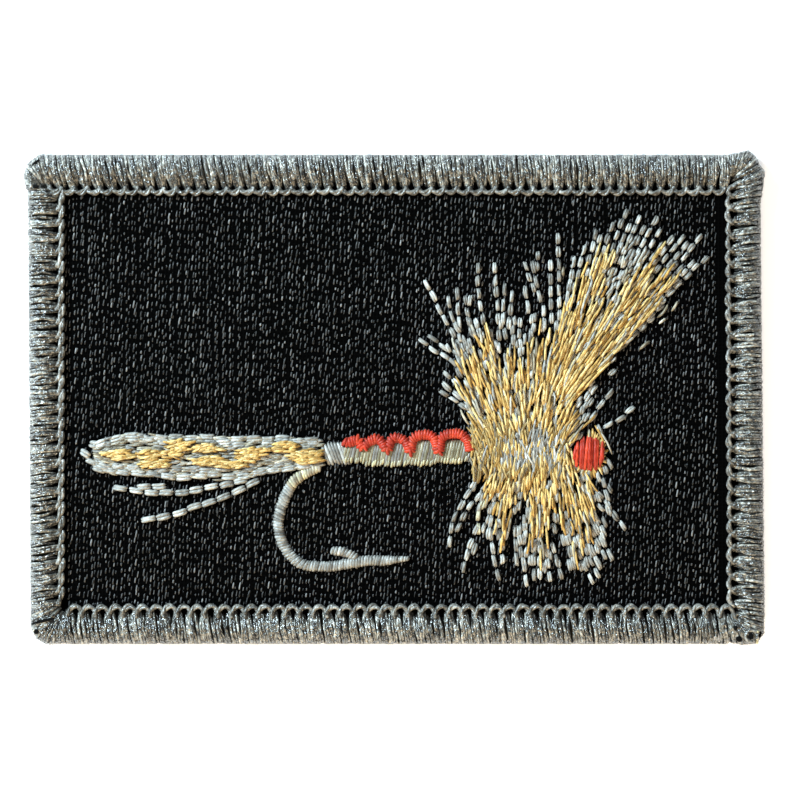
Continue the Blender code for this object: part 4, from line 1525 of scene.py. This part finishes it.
@dataclass
class Hackle:
    """The dun and ginger hackle round the thorax, and its loose strands."""

    left_barbs: tuple[Line, ...] = (
        ((2.4, 6.2), (4.3, 4.9), (5.8, 3.9)),
        ((3.3, 6.5), (5.6, 5.05), (7.0, 4.0)),
        ((5.4, 4.2), (7.6, 2.2)),
        ((5.0, 2.8), (6.1, 1.8), (8.4, -0.6)),
        ((4.8, 1.7), (5.9, 0.6), (8.2, -1.2)),
        ((4.5, 0.7), (6.2, -0.35), (8.6, -2.0)),
    )
    upper_barbs: tuple[Line, ...] = (
        ((3.0, 12.3), (5.2, 8.1), (7.4, 3.6)),
        ((5.5, 10.6), (6.0, 8.2), (8.4, 4.0)),
        ((6.4, 11.5), (6.7, 7.0)),
        ((7.2, 10.6), (8.2, 6.0)),
        ((7.9, 10.7), (7.7, 9.4)),
        ((8.6, 14.0), (8.65, 11.2), (9.1, 7.6)),
        ((10.4, 14.1), (10.5, 11.0), (10.7, 7.6)),
        ((11.35, 11.9), (11.2, 7.4)),
        ((12.2, 11.2), (11.8, 7.0)),
        ((13.4, 14.1), (14.1, 12.0), (14.4, 10.8)),
        ((13.5, 11.7), (13.8, 8.6)),
        ((14.7, 15.2), (14.7, 13.0)),
        ((14.2, 14.2), (14.6, 12.3), (15.2, 9.8)),
        ((16.1, 14.3), (16.15, 11.5), (16.2, 7.6)),
        ((16.9, 17.2), (17.0, 13.0), (17.1, 7.8)),
        ((18.6, 14.8), (18.2, 11.8), (17.6, 8.0)),
        ((15.4, 9.7), (15.4, 7.0)),
        ((13.0, 8.4), (12.9, 6.0)),
    )
    lower_barbs: tuple[Line, ...] = (
        ((10.9, -19.1), (10.0, -15.0), (10.2, -10.6)),
        ((11.1, -17.2), (11.0, -14.8), (10.8, -12.4)),
        ((12.7, -17.7), (12.4, -14.6)),
        ((13.7, -19.7), (13.4, -17.8), (12.9, -14.0)),
        ((14.45, -19.1), (14.4, -14.8)),
        ((15.0, -18.9), (15.0, -15.0)),
        ((16.1, -19.1), (15.5, -15.2)),
        ((17.3, -19.0), (16.2, -15.0)),
        ((20.6, -19.4), (19.3, -16.6), (18.0, -13.0)),
        ((21.3, -18.8), (19.0, -14.0)),
        ((21.4, -18.0), (19.6, -13.8)),
        ((21.9, -17.0), (20.2, -13.4)),
        ((22.6, -17.0), (20.6, -13.0)),
        ((21.9, -15.5), (19.8, -11.4)),
        ((21.4, -13.2), (19.6, -10.4)),
    )
    lower_left: tuple[Line, ...] = (
        ((5.6, -15.6), (6.2, -12.2), (8.5, -8.3)),
        ((6.4, -14.0), (7.6, -11.6), (9.6, -8.8)),
        ((7.05, -18.3), (7.5, -15.9), (8.7, -13.2)),
        ((8.05, -16.3), (8.5, -14.9)),
    )
    pale_left: tuple[Line, ...] = (((8.6, -14.3), (8.7, -11.8), (9.9, -9.0)),)
    lower_right: tuple[Line, ...] = (
        ((23.95, -13.8), (21.9, -10.8), (19.7, -8.9)),
        ((21.7, -11.8), (19.0, -9.0)),
    )
    right_high: tuple[Line, ...] = (
        ((22.9, 2.95), (22.0, 2.2)),
        ((22.7, 0.9), (21.3, -0.8), (20.0, -2.5)),
    )
    right_low: tuple[Line, ...] = (((24.9, -1.0), (23.5, -2.0), (21.6, -3.1)),)
    # The thorax: how many threads, the area of their middles, and the pale patch's middle and half size
    thorax_count: int = 330
    thorax_low: Point = (8.0, -7.8)
    thorax_high: Point = (17.6, -3.2)
    pale_middle: Point = (14.2, -5.4)
    pale_half: Point = (3.6, 1.7)
    seed: int = 34

    def dun_bed(self, rng: np.random.Generator) -> list[Strands]:
        """Fill the shaded middle of the upper and lower fans under the ginger.

        Args:
            rng: Seeded random numbers.

        Returns:
            The two beds.
        """
        upper = FanBed(
            UPPER_HUB,
            ((126, 11.0), (119, 15.4), (115, 19.4), (110, 21.8), (104, 21.6), (98, 20.8), (92, 20.6),
             (86, 21.4), (80, 20.2), (72, 17.4), (62, 15.6), (56, 14.0)),
            inner=7.6, spacing=0.50, stitch=(0.95, 1.35), stray=5.0, cover=0.92
        )
        lower = FanBed(
            LOWER_HUB,
            ((244, 17.0), (250, 20.6), (256, 23.8), (262, 25.6), (268, 26.6), (274, 26.8), (280, 27.6),
             (284, 27.4), (288, 26.0), (292, 22.5), (297, 18.5)),
            inner=13.0, spacing=0.52, stitch=(1.0, 1.4), stray=5.0, cover=0.95
        )
        beds = []
        for fan in (upper, lower):
            starts, ends = fan.stitches(rng)
            beds.append(GRAIN.lay(rng, starts, ends, drawn_tints(rng, DUN_TINTS, len(starts))))
        return beds

    def build(self) -> None:
        """Make the fans and the loose strands."""
        rng = np.random.default_rng(self.seed)
        upper_bed, lower_bed = self.dun_bed(rng)
        groups = (
            ("hackle_left_stitches", "hackle_dun_left", self.left_barbs, None),
            ("hackle_upper_stitches", "hackle_dun_upper", self.upper_barbs, upper_bed),
            ("hackle_lower_stitches", "hackle_dun_lower", self.lower_barbs, lower_bed),
            ("hackle_lower_left_strand", "hackle_strand_lower_left", self.lower_left, None),
            ("hackle_lower_right_strand", "hackle_strand_lower_right", self.lower_right, None),
            ("hackle_right_high_strand", "hackle_strand_right_high", self.right_high, None),
            ("hackle_right_low_strand", "hackle_strand_right_low", self.right_low, None),
        )
        for name, node, paths, bed in groups:
            strands = barbs(rng, paths)
            if bed is not None:
                strands = Strands.joined([bed, strands])
            if name == "hackle_lower_left_strand":
                strands = Strands.joined([strands, barbs(rng, self.pale_left, PALE_KHAKI_TINTS)])
            settle(strands.build(name, DUN_THREAD), Slot.DUN, node)
        self.ginger(rng)

    def ginger(self, rng: np.random.Generator) -> None:
        """Make the ginger hourglass over the dun, with dun glints among it.

        Args:
            rng: Seeded random numbers.
        """
        mixed = GINGER_TINTS * 6 + DUN_TINTS[:1] + SHADED_DUN_TINTS
        upper = FanBed(
            UPPER_HUB,
            ((126, 10.2), (122, 13.2), (117, 16.8), (113.5, 21.6), (110, 18.4), (105.5, 21.0), (101.6, 20.6),
             (98, 17.8), (95.5, 19.4), (92, 17.2), (88.5, 18.2), (85.5, 21.2), (82, 19.8), (75, 17.0),
             (66, 15.0), (58, 12.8)),
            inner=7.6, spacing=0.22, stitch=(1.6, 3.4), stray=7.0, valley=0.9
        )
        lower = FanBed(
            LOWER_HUB,
            ((243, 15.4), (249, 18.0), (255, 21.0), (259, 23.0), (261.5, 25.6), (263, 24.6), (265.5, 20.6),
             (268.6, 25.4), (271.4, 27.2), (273, 25.0), (275, 20.6), (277.4, 23.4), (279.6, 28.6),
             (281, 25.8), (284.0, 26.0), (286.6, 22.4), (291, 19.2), (296, 17.0)),
            inner=12.6, spacing=0.22, stitch=(1.4, 3.0), stray=5.0, valley=0.9
        )
        ginger_fan(rng, upper, mixed, "ginger_upper_stitches", "hackle_ginger_upper")
        ginger_fan(rng, lower, mixed, "ginger_lower_stitches", "hackle_ginger_lower")
        count = self.thorax_count
        spans = zip(self.thorax_low, self.thorax_high)
        middle = np.stack([rng.uniform(low, high, count) for low, high in spans], axis=-1)
        tilt = np.radians(90 + 16 * rng.standard_normal(count)) - 0.05 * (middle[:, 0] - 13.0)
        half = rays(tilt) * rng.uniform(0.8, 1.5, (count, 1))
        tints = 0.56 * drawn_tints(rng, mixed, count, 0.3)
        away = np.abs((middle - np.array(self.pale_middle)) / np.array(self.pale_half)).max(1)
        pale = away < rng.uniform(0.7, 1.1, count)
        tints[pale] = 0.88 * drawn_tints(rng, DUN_TINTS + GINGER_TINTS[:1], int(pale.sum()), 0.35)
        strands = LONG_OVER.lay(rng, middle - half, middle + half, tints)
        settle(strands.build("thorax_stitches", GINGER_THREAD), Slot.GINGER, "thorax_ginger")


@dataclass
class Wing:
    """The upright wing: dun barbs that spread from a narrow neck, and two ginger spokes."""

    tips: Line = (
        (77.0, 17.5), (75.3, 21.0), (73.6, 23.0), (71.8, 22.6), (70.2, 24.2), (68.0, 26.0), (66.2, 24.9),
        (64.8, 26.0), (62.8, 25.2), (61.3, 26.6), (59.0, 25.7), (57.0, 24.6), (55.6, 25.8), (54.1, 26.6),
        (52.2, 26.2), (50.8, 27.7), (49.4, 24.0), (48.2, 25.2), (46.8, 26.4), (47.4, 22.6), (46.6, 19.6),
    )
    # Barbs root at the neck past the bare angle and farther out elsewhere, turned in towards the axis
    neck: float = 8.0
    covered: float = 15.0
    root_stray: float = 3.0
    bare_angle: float = 74.0
    axis: float = 62.0
    narrowing: float = 0.9
    side_barbs: tuple[Line, ...] = (((27.9, 9.9), (25.2, 6.9)), ((26.9, 8.5), (23.6, 5.4)))
    seed: int = 35

    def build(self) -> None:
        """Make the barbs and the spokes."""
        rng = np.random.default_rng(self.seed)
        paths = []
        for angle, radius in self.tips:
            root_angle = self.axis + (angle - self.axis) * self.narrowing
            tip_ray, root_ray = rays(np.radians((angle, root_angle)))
            inner = self.neck if angle > self.bare_angle else self.covered
            root = np.array(HUB) + root_ray * (inner + self.root_stray * rng.random())
            paths.append((tuple(np.array(HUB) + tip_ray * radius), tuple(root)))
        strands = barbs(rng, tuple(paths) + self.side_barbs, stitch=1.25)
        left = FanBed(
            HUB,
            ((79.0, 10.6), (77.4, 15.0), (74.4, 19.6), (71.0, 21.6), (69.2, 23.2), (67.6, 22.4),
             (65.8, 25.2), (64.6, 20.0), (63.0, 15.0)),
            inner=5.0, spacing=0.20, stitch=(2.0, 4.2), stray=3.5, valley=0.94,
        )
        right = FanBed(
            HUB,
            ((63.0, 15.0), (60.0, 19.4), (58.0, 23.2), (56.6, 26.0), (55.0, 22.6), (53.0, 23.4),
             (50.6, 25.6), (48.8, 24.8), (47.4, 20.5), (46.0, 12.6)),
            inner=5.0, spacing=0.20, stitch=(2.0, 4.2), stray=3.5, valley=0.94,
        )
        middle = FanBed(
            HUB, ((73.0, 19.0), (66.0, 23.4), (60.0, 24.0), (48.0, 21.0)),
            inner=5.0, spacing=0.28, stitch=(0.9, 1.9), stray=9.0,
        )
        starts, ends = middle.stitches(rng)
        shade = drawn_tints(rng, SHADED_DUN_TINTS * 2 + DUN_TINTS + GINGER_TINTS[:1], len(starts), 0.2)
        strands = Strands.joined([strands, LONG_UNDER.lay(rng, starts, ends, shade)])
        settle(strands.build("wing_stitches", DUN_THREAD), Slot.DUN, "wing_dun")
        mixed = GINGER_TINTS * 5 + DUN_TINTS[:1] + SHADED_DUN_TINTS[:1]
        ginger_fan(rng, left, mixed, "wing_left_spoke_stitches", "wing_spoke_left_ginger")
        ginger_fan(rng, right, mixed, "wing_right_spoke_stitches", "wing_spoke_right_ginger")


@dataclass
class Head:
    """The red head on its ginger ring."""

    centre: Point = (20.1, -5.85)
    half_width: float = 1.55
    half_height: float = 1.75
    satins: int = 11
    ring_threads: int = 30
    seed: int = 36

    def build(self) -> None:
        """Make the red disc as upright satin, and the ring as short rays round it."""
        rng = np.random.default_rng(self.seed)
        count = self.satins
        offset = np.linspace(-0.95, 0.95, count)
        reach = self.half_height * (1 - np.abs(offset) ** 3) ** 0.4 + 0.1
        x = self.centre[0] + offset * self.half_width
        starts = np.stack([x - 0.12, self.centre[1] - reach], axis=-1)
        starts = starts + 0.09 * rng.standard_normal((count, 2))
        ends = np.stack([x + 0.12, self.centre[1] + reach], axis=-1)
        ends = ends + 0.09 * rng.standard_normal((count, 2))
        strands = OVER_SATIN.lay(rng, starts, ends, drawn_tints(rng, RED_TINTS, count))
        settle(strands.build("head_red_satin", RED_THREAD), Slot.RED, "head_disc_red")
        count = self.ring_threads
        ray = rays(np.radians(np.linspace(-150, 95, count) + 3 * rng.standard_normal(count)))
        start = np.array(self.centre) + ray * np.array((0.9, 1.2))
        tip = np.array(self.centre) + ray * np.array((2.0, 2.7)) * rng.uniform(0.85, 1.1, (count, 1))
        tints = drawn_tints(rng, GINGER_TINTS + SHADED_DUN_TINTS[:1], count)
        strands = FINE_GRAIN.lay(rng, start, tip, tints)
        settle(strands.build("head_ginger_rays", GINGER_THREAD), Slot.GINGER, "head_disc_ginger")


@dataclass
class BackLayers:
    """The bobbin stitching behind the cloth."""

    stitch: float = 2.4
    spacing: float = 0.55
    reach: float = 4.2
    seed: int = 37

    def bobbin(self, node: str, rng: np.random.Generator) -> bpy.types.Object:
        """Lay white bobbin stitches over the area behind a stitched part.

        Args:
            node: The CAD node of that area.
            rng: Seeded random numbers.

        Returns:
            The stitching.
        """
        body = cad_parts[node]
        low, high = node_box(node)
        corners = np.empty(len(body.data.vertices) * 3)
        body.data.vertices.foreach_get("co", corners)
        corners = corners.reshape(-1, 3) / MM
        rows = int((high[1] - low[1]) / self.spacing)
        columns = int((high[0] - low[0]) / self.stitch) + 1
        i, j = np.meshgrid(np.arange(rows), np.arange(columns), indexing="ij")
        x = low[0] + (j + 0.5 * (i % 2)) * self.stitch
        y = low[1] + (i + 0.5) * self.spacing
        flat = np.stack([x, y], axis=-1).reshape(-1, 2) + 0.06 * rng.standard_normal((x.size, 2))
        gap = np.linalg.norm(flat[:, None] - corners[None, :, :2], axis=2).min(1)
        flat = flat[(gap < self.reach) & (flat[:, 0] < high[0] - self.stitch)]
        form = StitchForm(0.34, 0.12, high[2] + 0.06, low[2] + 0.08, points=5, sway=0.05)
        ends = flat + np.array((self.stitch - 0.2, 0.25))
        strands = form.lay(rng, flat, ends, drawn_tints(rng, WHITE_TINTS, len(flat)))
        return strands.build(node + "_threads", BOBBIN_THREAD, sides=5)

    def build(self) -> None:
        """Make the stitching."""
        rng = np.random.default_rng(self.seed)
        for node in ("bobbin_stitching_body", "bobbin_stitching_hackle"):
            settle(self.bobbin(node, rng), Slot.BOBBIN, node)


@dataclass
class Studio:
    """Pale floor, soft lights and the camera straight above the patch."""

    view_width: float = 82.96
    view_centre: Point = (0.52, -0.26)
    lens: float = 100.0
    sensor: float = 36.0
    ambient: float = 0.22
    floor_half: float = 600.0
    floor_level: float = -0.02
    floor: FloorFinish = FloorFinish()

    def add_light(
        self, name: str, place: tuple[float, float, float], size: float, watts: float, colour: Colour
    ) -> None:
        """Hang a square soft light that faces the patch.

        Args:
            name: Its name.
            place: Where it hangs, in metres.
            size: Its side, in metres.
            watts: Its power.
            colour: Its colour.
        """
        data = bpy.data.lights.new(name, "AREA")
        data.shape = "SQUARE"
        data.size = size
        data.energy = watts
        data.color = colour
        light = bpy.data.objects.new(name, data)
        light.location = place
        light.rotation_euler = (-Vector(place)).to_track_quat("-Z", "Y").to_euler()
        bpy.context.scene.collection.objects.link(light)

    def build(self) -> None:
        """Set up the floor, the lights, the surroundings and the camera."""
        scene = bpy.context.scene
        scene.view_settings.view_transform = "Standard"
        x, y = self.floor_half * np.array(np.meshgrid((-1, 0, 1), (-1, 0, 1), indexing="ij"))
        points = np.stack([x, y, np.full_like(x, self.floor_level)], axis=-1).reshape(-1, 3)
        quads = grid_quads(np.arange(9).reshape(3, 3))
        floor = fill_mesh("floor", points, quads, np.zeros((0, 3), int), None, None, self.floor)
        world = bpy.data.worlds.new("studio")
        world.use_nodes = True
        background = world.node_tree.nodes["Background"]
        background.inputs["Color"].default_value = (1.0, 1.0, 1.0, 1.0)
        background.inputs["Strength"].default_value = self.ambient
        scene.world = world
        self.add_light("cool_key", (-0.29, 0.19, 0.23), 0.12, 5.3, (0.70, 0.89, 1.0))
        self.add_light("warm_fill", (0.0, -0.30, 0.17), 0.16, 1.35, (1.0, 0.80, 0.52))
        data = bpy.data.cameras.new("camera")
        data.lens = self.lens
        data.sensor_width = self.sensor
        data.clip_start = 0.01
        camera = bpy.data.objects.new("camera", data)
        away = self.view_width * self.lens / self.sensor + HEIGHTS.cloth
        camera.location = (self.view_centre[0] * MM, self.view_centre[1] * MM, away * MM)
        scene.collection.objects.link(camera)
        scene.camera = camera


def main() -> None:
    """Dress the patch from the ground up, then light it."""
    GroundCloth().build()
    for side in border_sides():
        side.build()
    for part in (CornerEnds(), Hook(), Tail(), Abdomen(), Hackle(), Wing(), Head(), BackLayers(), Studio()):
        LOG.info("building %s", type(part).__name__)
        part.build()


if __name__ == "__main__":
    main()
